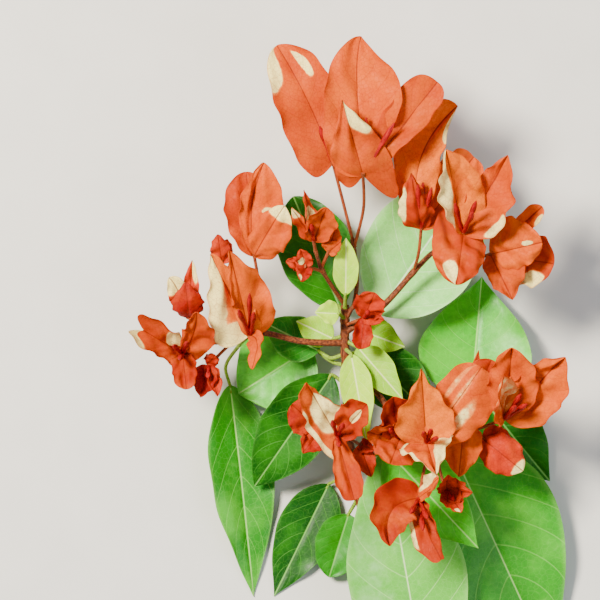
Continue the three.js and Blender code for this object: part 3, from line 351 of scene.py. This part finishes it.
# Half the width of a blade at each share of its length, as a part of the greatest: share to one
# power times the rest to another, so that it peaks at widest
def outline(share, basePower, widest):
    tipPower = basePower * (1 - widest) / widest
    greatest = widest ** basePower * (1 - widest) ** tipPower
    return share ** basePower * (1 - share) ** tipPower / greatest


# The face of a leaf or bract on a grid of share (base to tip) by across (-1 left to 1 right). The
# midrib is the straight line from base to tip, bowed out of its face and sideways by arches of
# 4s(1-s), and hooked sideways by a high power of s, the share as a column.
# Each half leaves it at its fold, and bends evenly by its cup and near its rim by its roll, so its
# offsets are the sums of the cosine and sine of that growing angle.
def bladeFace(blade, share, across):
    s = share[:, None]
    base, tip = np.array(blade["base"], float), np.array(blade["tip"], float)
    length = np.linalg.norm(tip - base)
    ahead0 = (tip - base) / length
    level = np.array([0, 0, 1.0])
    face = unit(level - ahead0 * (level @ ahead0))
    lean = np.radians(blade["turn"])
    face = face * np.cos(lean) + np.cross(ahead0, face) * np.sin(lean)
    side = np.cross(ahead0, face)

    # The midrib's points at shares s
    def midrib(s):
        arch = 4 * s * (1 - s)
        lift = blade["bow"] * arch
        aside = blade["sway"] * arch + blade["hook"] * s ** bladeForm["hookPower"]
        return base + length * (ahead0 * s + face * lift + side * aside)

    ahead = unit(midrib(s + bladeForm["ahead"]) - midrib(s - bladeForm["ahead"]))
    up = unit(face - ahead * (ahead @ face)[:, None])
    right = np.cross(ahead, up)
    half = (across >= 0).astype(int)
    fold, cup, roll, wide, lobe, basePower, widest = (
        np.broadcast_to(np.array(blade[k], float), 2)[half]
        for k in ("fold", "cup", "roll", "halves", "lobe", "round", "widest"))
    fold, cup, roll = np.radians([fold, cup, roll])
    parts = (np.arange(bladeForm["bends"]) + 0.5) / bladeForm["bends"]
    out = np.abs(across)[:, None] * parts
    rim = np.maximum(0, (out - bladeForm["rollFrom"]) / (1 - bladeForm["rollFrom"])) ** 2
    angle = fold[:, None] + cup[:, None] * out + roll[:, None] * rim
    lateral = across * np.cos(angle).mean(1)
    rise = np.abs(across) * np.sin(angle).mean(1)
    halfWidth = blade["width"] / 2 * wide * outline(s, basePower, widest)
    ripple = np.sin(2 * np.pi * (
        bladeForm["waves"] * s + bladeForm["halfShift"] * half
        + blade["width"] / bladeForm["widthShift"])) * np.sin(np.pi * s)
    rise = halfWidth * rise + blade["wave"] * across ** 2 * ripple
    drop = halfWidth * across ** 2 * (lobe * (1 - s) ** 3 - blade["prong"] * s ** 3)
    return (midrib(s)[:, None] + right[:, None] * (halfWidth * lateral)[..., None]
            + up[:, None] * rise[..., None] - ahead[:, None] * drop[..., None]), halfWidth


# Waves that crumple a blade: a sum of sines of share and across, each with its own seeded
# direction, pace and phase
def crumple(share, across, seed, paces, count=6):
    dice = np.random.default_rng(seed)
    total = np.zeros((len(share), len(across)))
    for _ in range(count):
        pace = dice.uniform(*paces)
        heading, phase = dice.uniform(0, np.pi), dice.uniform(0, 2 * np.pi)
        total += np.sin(2 * np.pi * pace * (np.cos(heading) * share[:, None]
                                            + np.sin(heading) * across / 2) + phase)
    return total / count


shellForm = dict(
    veinArch=1.25,  # how the side veins bend towards the tip on their way to the rim
    puckerPower=0.8, bodyPower=0.5,  # how soon the relief sets in from the midrib and from the ends
    rimPower=4, rimShift=0.31, seedShift=0.17,  # rim waves: nearness to the rim, and their shifts
    rimThin=0.5, thinPower=6,  # how much thinner the rim is, and how near it that begins
    ground=0.05,  # least height of a low leaf, which rests on the ground
    shadeSeed=500, sharpAngle=60)


# A leaf or bract as a closed shell: its face is moved along its own normal by its relief, then
# by half its thickness up and down for the two skins, and a rim joins them. Base and tip are one
# point in each skin. The relief is a groove along the midrib, a bell curve of the distance to it;
# puckers between the side veins, a cosine of the turns that the veins are counted in; waves of the
# rim; and crumple. Each point keeps its turns, distances from midrib and rim, patch and skin.
def bladeShell(blade, form, seed):
    rows, columns = form["rows"], form["columns"]
    share = (1 - np.cos(np.pi * np.arange(rows + 1) / rows)) / 2
    across = np.linspace(-1, 1, columns + 1)
    face, halfWidth = bladeFace(blade, share, across)
    out = np.abs(across)
    fromMidrib = across * halfWidth
    turns = form["veins"] * (share[:, None] - form["veinLean"] * out ** shellForm["veinArch"])
    body = np.sin(np.pi * share)[:, None] ** shellForm["bodyPower"]
    size = min(1, blade["width"] / form["fullWidth"])
    groove = -form["groove"] * np.exp(-(fromMidrib / form["grooveWidth"]) ** 2)
    pucker = form["pucker"] * (0.5 - 0.5 * np.cos(2 * np.pi * turns)) * (
        np.sin(np.pi * out) ** shellForm["puckerPower"])
    rimWave = form["rimWave"] * out ** shellForm["rimPower"] * np.sin(2 * np.pi * (
        form["rimWaves"] * share[:, None] + shellForm["rimShift"] * (across > 0)
        + seed * shellForm["seedShift"]))
    folds = form["crumple"] * blade["crease"] * crumple(share, across, seed, form["paces"])
    relief = size * body * (groove + pucker + rimWave + folds)

    normal = np.cross(np.gradient(face, axis=1), np.gradient(face, axis=0))
    normal[0], normal[-1] = normal[1].mean(0), normal[-2].mean(0)
    normal = unit(normal)
    face = face + normal * relief[..., None]
    thickness = form["thickness"] * (1 - shellForm["rimThin"] * out ** shellForm["thinPower"])
    ridge = form["ridge"] * size * np.exp(-(fromMidrib / form["ridgeWidth"]) ** 2) * body
    above = face + normal * (thickness / 2)[..., None]
    below = face - normal * (thickness / 2 + ridge)[..., None]
    below[..., 2] = np.maximum(below[..., 2], shellForm["ground"])
    above[..., 2] = np.maximum(above[..., 2], shellForm["ground"] + form["thickness"])

    # Painted highlights: pale patches where the light falls brightest, each a bell of its distance
    # from the patch's middle
    pale = np.zeros_like(relief)
    for middle, sideways, longWays, wide, *strength in blade["pale"]:
        away = ((share[:, None] - middle) / longWays) ** 2 + ((across - sideways) / wide) ** 2
        full = strength[0] if strength else 1
        pale = np.maximum(pale, full * np.exp(-away ** form["crisp"]))
    place = np.stack(np.broadcast_arrays(turns, fromMidrib, out), -1)
    skin = 2 + (rows - 1) * (columns + 1)

    # A grid as a list of a skin's points, with one for each end
    def oneSkin(grid):
        return np.concatenate([grid[0, :1], grid[1:-1].reshape(-1, *grid.shape[2:]), grid[-1, :1]])

    count = np.arange(relief.size).reshape(relief.shape)
    at = np.clip(count - columns, 0, skin - 1)  # each point's number in that list
    cells = np.stack([at[1:-2, :-1], at[1:-2, 1:], at[2:-1, 1:], at[2:-1, :-1]], -1).reshape(-1, 4)
    fans = np.vstack([np.stack([at[0, :-1], at[1, 1:], at[1, :-1]], -1),
                      np.stack([at[-1, :-1], at[-2, :-1], at[-2, 1:]], -1)])
    left, right = at[:, 0], at[:, -1]
    rims = np.vstack([
        np.stack([right[:-1], right[:-1] + skin, right[1:] + skin, right[1:]], -1),
        np.stack([left[1:], left[1:] + skin, left[:-1] + skin, left[:-1]], -1)])
    # The blade's shade: the given value, partly painted light, or else a seeded random tone
    chance = np.random.default_rng(seed + shellForm["shadeSeed"]).uniform(0, 1)
    return dict(vertices=np.vstack([oneSkin(above), oneSkin(below)]),
                quads=np.vstack([cells, cells[:, ::-1] + skin, rims]),
                triangles=np.vstack([fans, fans[:, ::-1] + skin]),
                place=np.vstack([oneSkin(place)] * 2), pale=np.tile(oneSkin(pale), 2),
                underside=np.repeat([0.0, 1.0], skin),
                shade=np.full(2 * skin, blade.get("shade", chance)))


# Puts a mesh, lamp or camera into the scene
def addObject(name, data):
    thing = bpy.data.objects.new(name, data)
    bpy.context.scene.collection.objects.link(thing)
    return thing


# Joins shells into one mesh object, shifts it into the frame and makes it a piece of a node
def makePiece(node, part, shells, material):
    name = node + "_" + part
    firsts = np.cumsum([0] + [len(s["vertices"]) for s in shells])
    vertices = np.vstack([s["vertices"] for s in shells]) + originShift
    faces = [face for kind in ("quads", "triangles") for s, first in zip(shells, firsts)
             for face in (s[kind] + first).tolist()]
    mesh = bpy.data.meshes.new(name)
    mesh.from_pydata((vertices * mm).tolist(), [], faces)
    mesh.polygons.foreach_set("use_smooth", np.ones(len(mesh.polygons), bool))
    place = mesh.attributes.new("bladePlace", "FLOAT_VECTOR", "POINT")
    place.data.foreach_set("vector", np.vstack([s["place"] for s in shells]).ravel())
    for key in ("pale", "underside", "shade"):
        values = np.concatenate([s.get(key, np.zeros(len(s["vertices"]))) for s in shells])
        mesh.attributes.new(key, "FLOAT", "POINT").data.foreach_set("value", values)
    mesh.set_sharp_from_angle(angle=np.radians(shellForm["sharpAngle"]))
    mesh.materials.append(material)
    mesh.update()
    piece = addObject(name, mesh)
    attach(piece, "root")
    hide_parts(node)


# A colour written as sRGB hex, turned to linear light
def colour(code):
    parts = np.array([int(code[k:k + 2], 16) for k in (1, 3, 5)]) / 255
    linear = np.where(parts <= 0.04045, parts / 12.92, ((parts + 0.055) / 1.055) ** 2.4)
    return (*linear.tolist(), 1.0)


# Adds a node to a material's tree with its settings and links. An input goes by its name or, after
# an i, by its number, and is a number, a colour, one of a node's outputs, or a node, for its first.
def addNode(tree, kind, settings=None, **inputs):
    node = tree.nodes.new("ShaderNode" + kind)
    for key, value in (settings or {}).items():
        setattr(node, key, value)
    for key, value in inputs.items():
        socket = node.inputs[int(key[1:]) if key[1:].isdigit() else key.replace("_", " ")]
        if isinstance(value, bpy.types.Node):
            value = value.outputs[2 if value.type == "MIX" else 0]
        if isinstance(value, bpy.types.NodeSocket):
            tree.links.new(value, socket)
        else:
            socket.default_value = value
    return node


# An empty material, and the function that adds nodes to it
def newMaterial(name):
    material = bpy.data.materials.new(name)
    material.use_nodes = True
    material.node_tree.nodes.clear()
    return material, partial(addNode, material.node_tree)


# Lays tints over a look's deep one, each where its mask is full: a smooth step of its value from
# none to full, times how much of it shows
def layTints(add, look, layers):
    tint, masks = colour(look["deep"]), {}
    for layer, (value, none, full, amount, tone) in layers.items():
        masks[layer] = add("MapRange", dict(interpolation_type="SMOOTHSTEP"), Value=value,
                           From_Min=none, From_Max=full, To_Max=amount)
        tint = add("Mix", dict(data_type="RGBA"), i0=masks[layer], i6=tint, i7=colour(look[tone]))
    return tint, masks


tissueForm = dict(
    detail=4, rough=0.6,  # noise
    mottle=[0.38, 0.62], patch=[0.42, 0.66],  # from where to where a noise turns into its tint
    # The two ranges on the next line, and the two most values after them, set the painted
    # highlights: their halo and their pale core
    highlightHalo=[0.16, 0.5], pale=[0.42, 0.56],  # the same for a patch, over the middle of its fray
    highlightHaloMost=0.75, paleMost=0.95, midribEdge=0.1, rimFrom=0.9,
    glossFrom=0.3, glossTo=0.7,  # mottling from the smoothest to the roughest skin
    bumpDepth=0.25,  # millimetres
    ior=1.42)


# Leaf or bract tissue: a skin that some light passes through. Its tint is laid on in layers: the
# blade's shade, partly its own tone and partly painted light; mottling; patches; painted
# highlights, pale patches with a warm halo where the light falls brightest; a fine net of veins,
# side veins that leave the midrib at even turns, the midrib, the rim and the underside.
def bladeTissue(name, look):
    tissue, add = newMaterial(name)
    place = add("SeparateXYZ", Vector=add(
        "Attribute", dict(attribute_name="bladePlace")).outputs["Vector"])
    turns, offMidrib, toRim = place.outputs
    shade, pale, under = (add("Attribute", dict(attribute_name=key)).outputs["Fac"]
                          for key in ("shade", "pale", "underside"))
    spot = add("TexCoord").outputs["Object"]
    mottle, patch, fray = (
        add("TexNoise", Vector=spot, Scale=1 / (look[size] * mm), Detail=tissueForm["detail"],
            Roughness=tissueForm["rough"])
        for size in ("mottleSize", "patchSize", "fraySize"))
    net = add("TexVoronoi", dict(feature="DISTANCE_TO_EDGE"), Vector=spot,
              Scale=1 / (look["netSize"] * mm))
    fromVein = add("Math", dict(operation="PINGPONG"), i0=turns, i1=0.5)  # half a turn at most
    fromMidrib = add("Math", dict(operation="ABSOLUTE"), i0=offMidrib)
    # Painted highlights: the pale patches, their edges frayed by noise
    highlightMask = add("Math", dict(operation="MULTIPLY_ADD"), i0=fray, i1=look["frayed"], i2=pale)
    highlightHalo, highlightRange = (np.array(tissueForm[k]) + look["frayed"] / 2 for k in ("highlightHalo", "pale"))
    tint, masks = layTints(add, look, dict(
        # The blade's shade, partly its own tone and partly painted light; from 1 to 2 it lays on
        # the painted lit tone
        light=(shade, 0, 1, 1, "light"),
        lit=(shade, 1, 2, 1, "lit"),
        mottle=(mottle, *tissueForm["mottle"], look["mottle"], "fleck"),
        patch=(patch, *tissueForm["patch"], look["patch"], "bright"),
        # The next two layers paint the highlights: a warm halo, then a pale core
        highlightHalo=(highlightMask, *highlightHalo, tissueForm["highlightHaloMost"], "highlightHalo"),
        pale=(highlightMask, *highlightRange, tissueForm["paleMost"], "pale"),
        net=(net, look["netWidth"], 0, look["net"], "vein"),
        sideVein=(fromVein, look["veinWidth"], 0, look["sideVein"], "vein"),
        midrib=(fromMidrib, look["midribWidth"], tissueForm["midribEdge"], look["midrib"],
                "midribTint"),
        rim=(toRim, tissueForm["rimFrom"], 1, look["rim"], "rimTint"),
        under=(under, 0, 1, look["underMix"], "under")))
    veins = add("Math", dict(operation="ADD"), i0=masks["net"], i1=masks["sideVein"])
    relief = add("Math", dict(operation="SUBTRACT"), i0=mottle, i1=veins)
    bump = add("Bump", Height=relief, Strength=look["bump"], Distance=tissueForm["bumpDepth"] * mm)
    rough = add("MapRange", Value=mottle, From_Min=tissueForm["glossFrom"],
                From_Max=tissueForm["glossTo"], To_Min=look["gloss"][0], To_Max=look["gloss"][1])
    skin = add("BsdfPrincipled", Base_Color=tint, Roughness=rough, Normal=bump,
               IOR=tissueForm["ior"], Coat_Weight=look["wax"], Coat_Roughness=look["waxRough"],
               Specular_IOR_Level=look["shine"])
    # The translucent glow fades under the painted highlights
    glowing = add("MapRange", Value=masks["pale"], To_Min=look["glowMix"], To_Max=0)
    glow = add("Mix", dict(data_type="RGBA"), i0=glowing, i6=tint, i7=colour(look["glow"]))
    through = add("BsdfTranslucent", Color=glow, Normal=bump)
    add("OutputMaterial", Surface=add("MixShader", i0=look["through"], i1=skin, i2=through))
    return tissue


skinForm = dict(
    detail=3, rough=0.6,  # noise
    streak=[0.35, 0.65], speck=[0.44, 0.36],  # from where to where a noise turns into its tint
    bumpDepth=0.15,  # millimetres
    downRough=0.4)


# Bark, stalk and tube skins: streaks that run along the piece, specks across it, and a soft bump
def stalkSkin(name, look):
    wood, add = newMaterial(name)
    place = add("Attribute", dict(attribute_name="bladePlace"))
    stretched = add("Mapping", Vector=place.outputs["Vector"],
                    Scale=(look["streakRuns"], look["streaks"], 1))
    streak = add("TexNoise", Vector=stretched, Scale=1, Detail=skinForm["detail"],
                 Roughness=skinForm["rough"])
    speck = add("TexNoise", Vector=add("TexCoord").outputs["Object"],
                Scale=1 / (look["speckSize"] * mm), Detail=skinForm["detail"])
    tint, _ = layTints(add, look, dict(
        streak=(streak, *skinForm["streak"], 1, "light"),
        speck=(speck, *skinForm["speck"], look["speck"], "speckTint")))
    relief = add("Math", dict(operation="ADD"), i0=streak, i1=speck)
    bump = add("Bump", Height=relief, Strength=look["bump"], Distance=skinForm["bumpDepth"] * mm)
    skin = add("BsdfPrincipled", Base_Color=tint, Roughness=look["rough"], Normal=bump,
               Specular_IOR_Level=look["shine"], Sheen_Weight=look["down"],
               Sheen_Roughness=skinForm["downRough"])
    add("OutputMaterial", Surface=skin)
    return wood


# In each look, sizes and widths are in millimetres, but veinWidth in turns from vein to vein.
# Papery bract: thin dry tissue, dyed orange right through, that glows where light crosses it
bractLook = dict(
    # The lit tone on the next line is painted light, laid on blades whose shade is above 1
    deep="#A42600", light="#D85A00", lit="#FF8C00", fleck="#A82400", mottle=0.2, mottleSize=1.8,
    bright="#E06A06", patch=0.35, patchSize=12, fraySize=3.0, frayed=0.5, vein="#962200",
    sideVein=0.3, veinWidth=0.03, net=0.34, netSize=1.5, netWidth=0.05, midribTint="#7A1E04",
    midrib=0.8, midribWidth=0.3, rim=0.35, rimTint="#B83006", under="#E04C0A", underMix=0.35,
    # The first two tones on the next line are painted highlights: a warm halo and a cream core
    highlightHalo="#FFA450", pale="#FFF6A0", glow="#FF4600", glowMix=0.5, through=0.25, gloss=[0.45, 0.65],
    shine=0.14, wax=0.0, waxRough=0.4, bump=0.6)
# Grown leaf: tough green tissue under a thin clear wax, with a lighter midrib and veins
leafLook = dict(
    # The lit tone on the next line is painted light, laid on blades whose shade is above 1
    deep="#167C04", light="#48C610", lit="#8CE060", fleck="#127004", mottle=0.25, mottleSize=1.6,
    bright="#74DC2C", patch=0.35, patchSize=18, fraySize=5, frayed=0.6, vein="#86D450",
    sideVein=0.5, veinWidth=0.04, net=0.16, netSize=2.0, netWidth=0.06, midribTint="#B0E878",
    midrib=0.8, midribWidth=0.42, rim=0.3, rimTint="#90D45A", under="#84C862", underMix=0.6,
    # The first two tones on the next line are painted highlights: a green halo and a near-white
    # core
    highlightHalo="#A4E094", pale="#EAF8E8", glow="#80D010", glowMix=0.5, through=0.2, gloss=[0.36, 0.52],
    shine=0.3, wax=0.15, waxRough=0.3, bump=0.4)
# Stalk: slender downy green wood, flushed red by the sun
stalkLook = dict(deep="#64220C", light="#9E4A20", speckTint="#441608", speck=0.4, speckSize=1.0,
                 streaks=8, streakRuns=30, rough=0.55, shine=0.2, down=0.05, bump=0.4)
tissues = dict(
    bract=bladeTissue("papery_orange_bract", bractLook),
    leaf=bladeTissue("waxy_green_leaf", leafLook),
    # Young bract: the same tissue before it opens, redder and denser
    youngBract=bladeTissue("dense_red_bract", dict(bractLook, deep="#9A1404", light="#C83408",
        lit="#D84A10", fleck="#880C06", bright="#DC5010", patch=0.4, vein="#5E0404",
        under="#C02A10", glow="#F03000", rimTint="#8A1006")),
    # Shaded leaf: the same tissue, older and darker
    darkLeaf=bladeTissue("waxy_dark_leaf", dict(leafLook, deep="#0A4C02", light="#26860C",
        fleck="#083E02", bright="#389A14", vein="#5CAC38", midribTint="#84C45C", rimTint="#54A034",
        under="#5C9C48", shine=0.22, wax=0.08)),
    # Pale leaf: the same tissue painted pale green-white, a painted reflection of the light on its
    # glossy face
    paleLeaf=bladeTissue("painted_sheen_leaf", dict(leafLook, deep="#74D454", light="#98E878",
        fleck="#68C84C", bright="#C8F8AC", vein="#DCF8CC", midribTint="#E8FCD8", rimTint="#CCF2B8",
        under="#B4E0AA", glow="#B0E868", sideVein=0.4, shine=0.2, wax=0.05)),
    # Light leaf: the same tissue lit from behind, clearer and yellower
    lightLeaf=bladeTissue("clear_light_leaf", dict(leafLook, deep="#4CB428", light="#7CD24A",
        fleck="#40A41E", bright="#8CDC5C", vein="#B8EE8C", midribTint="#DCF8B8", rimTint="#B4EC88",
        under="#9CD880", glow="#A0E040", shine=0.25, wax=0.1)),
    # Young leaf: soft yellow-green tissue, nearly without wax
    youngLeaf=bladeTissue("soft_young_leaf", dict(leafLook, deep="#94D404", light="#C0F01C",
        fleck="#86C804", bright="#E6FA48", vein="#E8F69C", midribTint="#F0F8B0", rimTint="#D8F070",
        under="#CCE070", glow="#E0F828", through=0.3, shine=0.2, wax=0.05)))
stalkWood = stalkSkin("downy_red_stalk", stalkLook)
# Leaf stalk: the same, still green
petioleWood = stalkSkin("green_leaf_stalk", dict(stalkLook, deep="#5C7A14", light="#92B434",
    speckTint="#7C4A1A", speck=0.25))
# Flower tube: fleshy crimson tissue, whose down is too short to show
tubeSkin = stalkSkin("downy_crimson_tube", dict(deep="#6A0204", light="#B0100C",
    speckTint="#560206", speck=0.5, speckSize=0.8, streaks=14, streakRuns=6, rough=0.6, shine=0.15,
    down=0.0, bump=0.5))
# Bark: young reddish-brown bark, drawn out in fine ribs with darker specks
bark = stalkSkin("young_ribbed_bark", dict(deep="#42190A", light="#864420", speckTint="#280E06",
    speck=0.5, speckSize=1.2, streaks=12, streakRuns=60, rough=0.62, shine=0.2, down=0.05,
    bump=0.7))
print("materials made")


limbForm = dict(sides=20, rib=0.05, ribs=6, twist=3, knot=0.22, knotLength=1.6, stemSteps=240,
                twigSteps=120, sink=0.9,  # how far a twig's foot reaches into its carrier
                heading=0.001,  # share of a limb to either side over which its heading is taken
                checks=200)  # points of a limb when its middle is measured
stalkForm = dict(
    sides=10, steps=28, petiole=0.75, pedicel=0.6, seatGap=0.3, heart=1.3, smallHeart=0.8,
    sink=0.5, entry=0.04,  # how far a stalk reaches into its limb and its blade
    petioleTaper=[1.25, 1, 0.9, 0.8, 0.6],
    pedicelAt=[0, 0.15, 0.75, 0.88, 1], pedicelTaper=[1.3, 1, 1, 1.8, 0.7], pedicelRings=12)
carriers, feet = {}, {}


# A stalk's root, and its foot in the limb's middle. The root is on the line from there to the
# stalk's next place, the seat gap clear of the limb's side, or of its end where it grows there.
def rootOn(on, towards, radius):
    limbName, share = on
    places, radii = carriers[limbName]
    foot = along(places, share)[0]
    step = limbForm["heading"]
    after = min(share + step, 1)
    axis = unit(along(places, after)[0] - along(places, after - 2 * step)[0])
    out = unit(np.array(towards, float) - foot)
    lean = abs(out @ axis)
    square = np.sqrt(1 - lean ** 2)
    gap = stalkForm["seatGap"]
    reach = ((gap + radius * square) / lean if share == 1
             else (between(radii, share) + gap + radius * lean) / square)
    return foot + out * reach, foot


# The route of each limb, with its root and foot worked out from the one that carries it
for name, limb in limbs.items():
    places = limb["points"]
    if "on" in limb:
        root, feet[name] = rootOn(limb["on"], places[0], limb["radii"][0])
        places = [root] + places
    carriers[name] = (places, limb["radii"])

# The branch's origin, the middle of its underside, as the frame gives it: the mean step from
# the limbs' own middles to those of their nodes
shifts = []
for name, (places, _) in carriers.items():
    path = along(places, np.linspace(0, 1, limbForm["checks"]))
    lowest, highest = (np.array(corner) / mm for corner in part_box(name))
    shifts.append((lowest + highest) / 2 - (path.min(0) + path.max(0)) / 2)
originShift = np.mean(shifts, axis=0)
originShift[2] = 0  # the ground is at the same height in both
print("origin shift, mm:", originShift.round(2))

# Limbs: a ribbed bark with a swelling at each place where a stalk or leaf grows
growths = [part["on"] for table in (limbs, leaves, blooms) for part in table.values()
           if "on" in part]
for name, (places, radii) in carriers.items():
    steps = limbForm["twigSteps" if name in feet else "stemSteps"]
    path = along(places, np.linspace(0, 1, steps))
    if name in feet:
        joint = places[0] + (feet[name] - places[0]) * limbForm["sink"]
        path = np.vstack([joint, path])
    length = np.linalg.norm(np.diff(path, axis=0), axis=1).sum()
    share = np.linspace(0, 1, len(path))
    radius = between(radii, share)
    for limbName, spot in growths:
        if limbName == name:
            away = (share - spot) * length / limbForm["knotLength"]
            radius = radius + limbForm["knot"] * np.exp(-away ** 2)
    angle = 2 * np.pi * np.arange(limbForm["sides"]) / limbForm["sides"]
    ribs = limbForm["rib"] * np.cos(limbForm["ribs"] * angle
                                    + limbForm["twist"] * share[:, None])
    shell = ringShell(path, radius[:, None] * (1 + ribs))
    makePiece(name, "bark", [shell], bark)
print("limbs made")

# Millimetres, but rows, columns, veins and rimWaves are counts, paces are waves in a blade's
# length, and crisp sharpens the edges of the pale patches of painted highlight
leafForm = dict(rows=60, columns=44, thickness=0.45, veins=7, veinLean=0.26, fullWidth=26,
                groove=0.35, grooveWidth=0.9, pucker=0.12, rimWave=0.7, rimWaves=3.2,
                crumple=1.2, paces=(0.6, 2.2), ridge=0.5, ridgeWidth=0.7, crisp=1)
bractForm = dict(rows=48, columns=40, thickness=0.25, veins=6, veinLean=0.3, fullWidth=20,
                 groove=0.45, grooveWidth=0.7, pucker=0.3, rimWave=0.9, rimWaves=4.3,
                 crumple=2.4, paces=(0.7, 3.2), ridge=0.25, ridgeWidth=0.4, crisp=4)
budForm = dict(bractForm, rows=30, columns=24)


# The places that a stalk runs through, from inside the limb that carries it
def stalkPlaces(on, places, radius):
    root, foot = rootOn(on, places[0], radius)
    return [root + (foot - root) * stalkForm["sink"], root] + places


# A stalk through its places, with its radius read from a list
def stalkShell(places, radii):
    shares = np.linspace(0, 1, stalkForm["steps"])
    radius = between(radii, shares)[:, None] * np.ones(stalkForm["sides"])
    return ringShell(along(places, shares), radius)


for number, (name, leaf) in enumerate(leaves.items()):
    blade = {**bladeDefaults, **leaf}
    places = stalkPlaces(leaf["on"], blade["stalk"] + [leaf["base"]], stalkForm["petiole"])
    places.append(bladeFace(blade, np.array([stalkForm["entry"]]), np.zeros(1))[0][0, 0])
    radii = stalkForm["petiole"] * np.array(stalkForm["petioleTaper"])
    tissue = blade["tissue"]
    makePiece(name, "blade", [bladeShell(blade, leafForm, number)], tissues[tissue])
    makePiece(name, "stalk", [stalkShell(places, radii)], petioleWood)
print("leaves made")

# Blooms: a stalk that ends in a knob, bracts round it, and tubes that narrow and swell again
seeds = dict(bloom=100, step=7)  # that of the first bract, and how much a bloom adds
tubeForm = dict(sides=15, steps=24, ribs=5, rib=0.08,
                profile=[0.5, 0.75, 0.8, 0.62, 0.6, 0.85, 1.05, 0.9, 0.3])
for number, (name, bloom) in enumerate(blooms.items()):
    bloom = {**bloomDefaults, **bloom}
    heart = np.array(bloom["heart"], float)
    small = bloom["small"] or bloom["red"]
    places = stalkPlaces(bloom["on"], bloom["stalk"] + [heart], stalkForm["pedicel"])
    knob = stalkForm["heart"] * (stalkForm["smallHeart"] if small else 1)
    places.append(heart + unit(heart - places[-2]) * knob)
    radii = stalkForm["pedicel"] * np.interp(np.linspace(0, 1, stalkForm["pedicelRings"]),
                                             stalkForm["pedicelAt"], stalkForm["pedicelTaper"])
    makePiece(name, "stalk", [stalkShell(places, radii)], stalkWood)
    form = budForm if small else bractForm
    shells = []
    for order, bract in enumerate(bloom["bracts"]):
        blade = {**bladeDefaults, **bractDefaults, **bract, "base": bloom["heart"]}
        shells.append(bladeShell(blade, form, seeds["bloom"] + seeds["step"] * number + order))
    tissue = tissues["youngBract" if bloom["red"] else "bract"]
    makePiece(name, "bracts", shells, tissue)
    if bloom["tubes"]:
        shares = np.linspace(0, 1, tubeForm["steps"])
        angle = 2 * np.pi * np.arange(tubeForm["sides"]) / tubeForm["sides"]
        ribs = 1 + tubeForm["rib"] * np.cos(tubeForm["ribs"] * angle)
        tubes = []
        for tip in bloom["tubes"]:
            path = along([bloom["heart"], tip], shares)
            radius = between(tubeForm["profile"], shares)[:, None] * ribs
            tubes.append(ringShell(path, radius))
        makePiece(name, "tubes", tubes, tubeSkin)
print("blooms made")


# A pale floor, soft studio light and the camera
floorLook = dict(size=3, tint="#D8D8D4", shade="#CECECA", grain=0.02, rough=0.9)  # metres
half = floorLook["size"] / 2
floorMesh = bpy.data.meshes.new("floor")
floorMesh.from_pydata([(-half, -half, 0), (half, -half, 0), (half, half, 0), (-half, half, 0)],
                      [], [(0, 1, 2, 3)])
floor = addObject("floor", floorMesh)
paper, add = newMaterial("matt_pale_paper")
grain = add("TexNoise", Vector=add("TexCoord").outputs["Object"], Scale=1 / floorLook["grain"])
tint = add("Mix", dict(data_type="RGBA"), i0=grain, i6=colour(floorLook["tint"]),
           i7=colour(floorLook["shade"]))
add("OutputMaterial", Surface=add("BsdfPrincipled", Roughness=floorLook["rough"],
                                    Base_Color=tint))
floorMesh.materials.append(paper)

sky = dict(tint="#F4F6FA", strength=0.4)
world = bpy.data.worlds.new("studio")
world.use_nodes = True
background = world.node_tree.nodes["Background"]
background.inputs["Color"].default_value = colour(sky["tint"])
background.inputs["Strength"].default_value = sky["strength"]
bpy.context.scene.world = world

bloomHeight = 0.03  # metres
target = Vector((originShift * mm).tolist()) + Vector((0, 0, bloomHeight))
lights = dict(
    keyLight=dict(place=(-0.66, 0.42, 1.15), size=0.35, power=70, tint="#FFF4E2"),
    fillLight=dict(place=(0.9, -0.5, 0.9), size=0.9, power=10, tint="#F0F6FF"))
for lightName, light in lights.items():
    data = bpy.data.lights.new(lightName, "AREA")
    data.energy, data.size, data.color = light["power"], light["size"], colour(light["tint"])[:3]
    lamp = addObject(lightName, data)
    lamp.location = target + Vector(light["place"])
    lamp.rotation_euler = (-Vector(light["place"])).to_track_quat("-Z", "Y").to_euler()

# The camera looks straight down at the picture's centre, its frame 216 mm wide at the height of
# the blooms
view = dict(distance=2.4, frameWidth=0.216, sensor=36)
cameraData = bpy.data.cameras.new("overhead")
cameraData.sensor_width = view["sensor"]
cameraData.lens = view["sensor"] * view["distance"] / view["frameWidth"]
camera = addObject("overhead", cameraData)
camera.location = target + Vector((0, 0, view["distance"]))
bpy.context.scene.camera = camera
print("floor, lights and camera made")
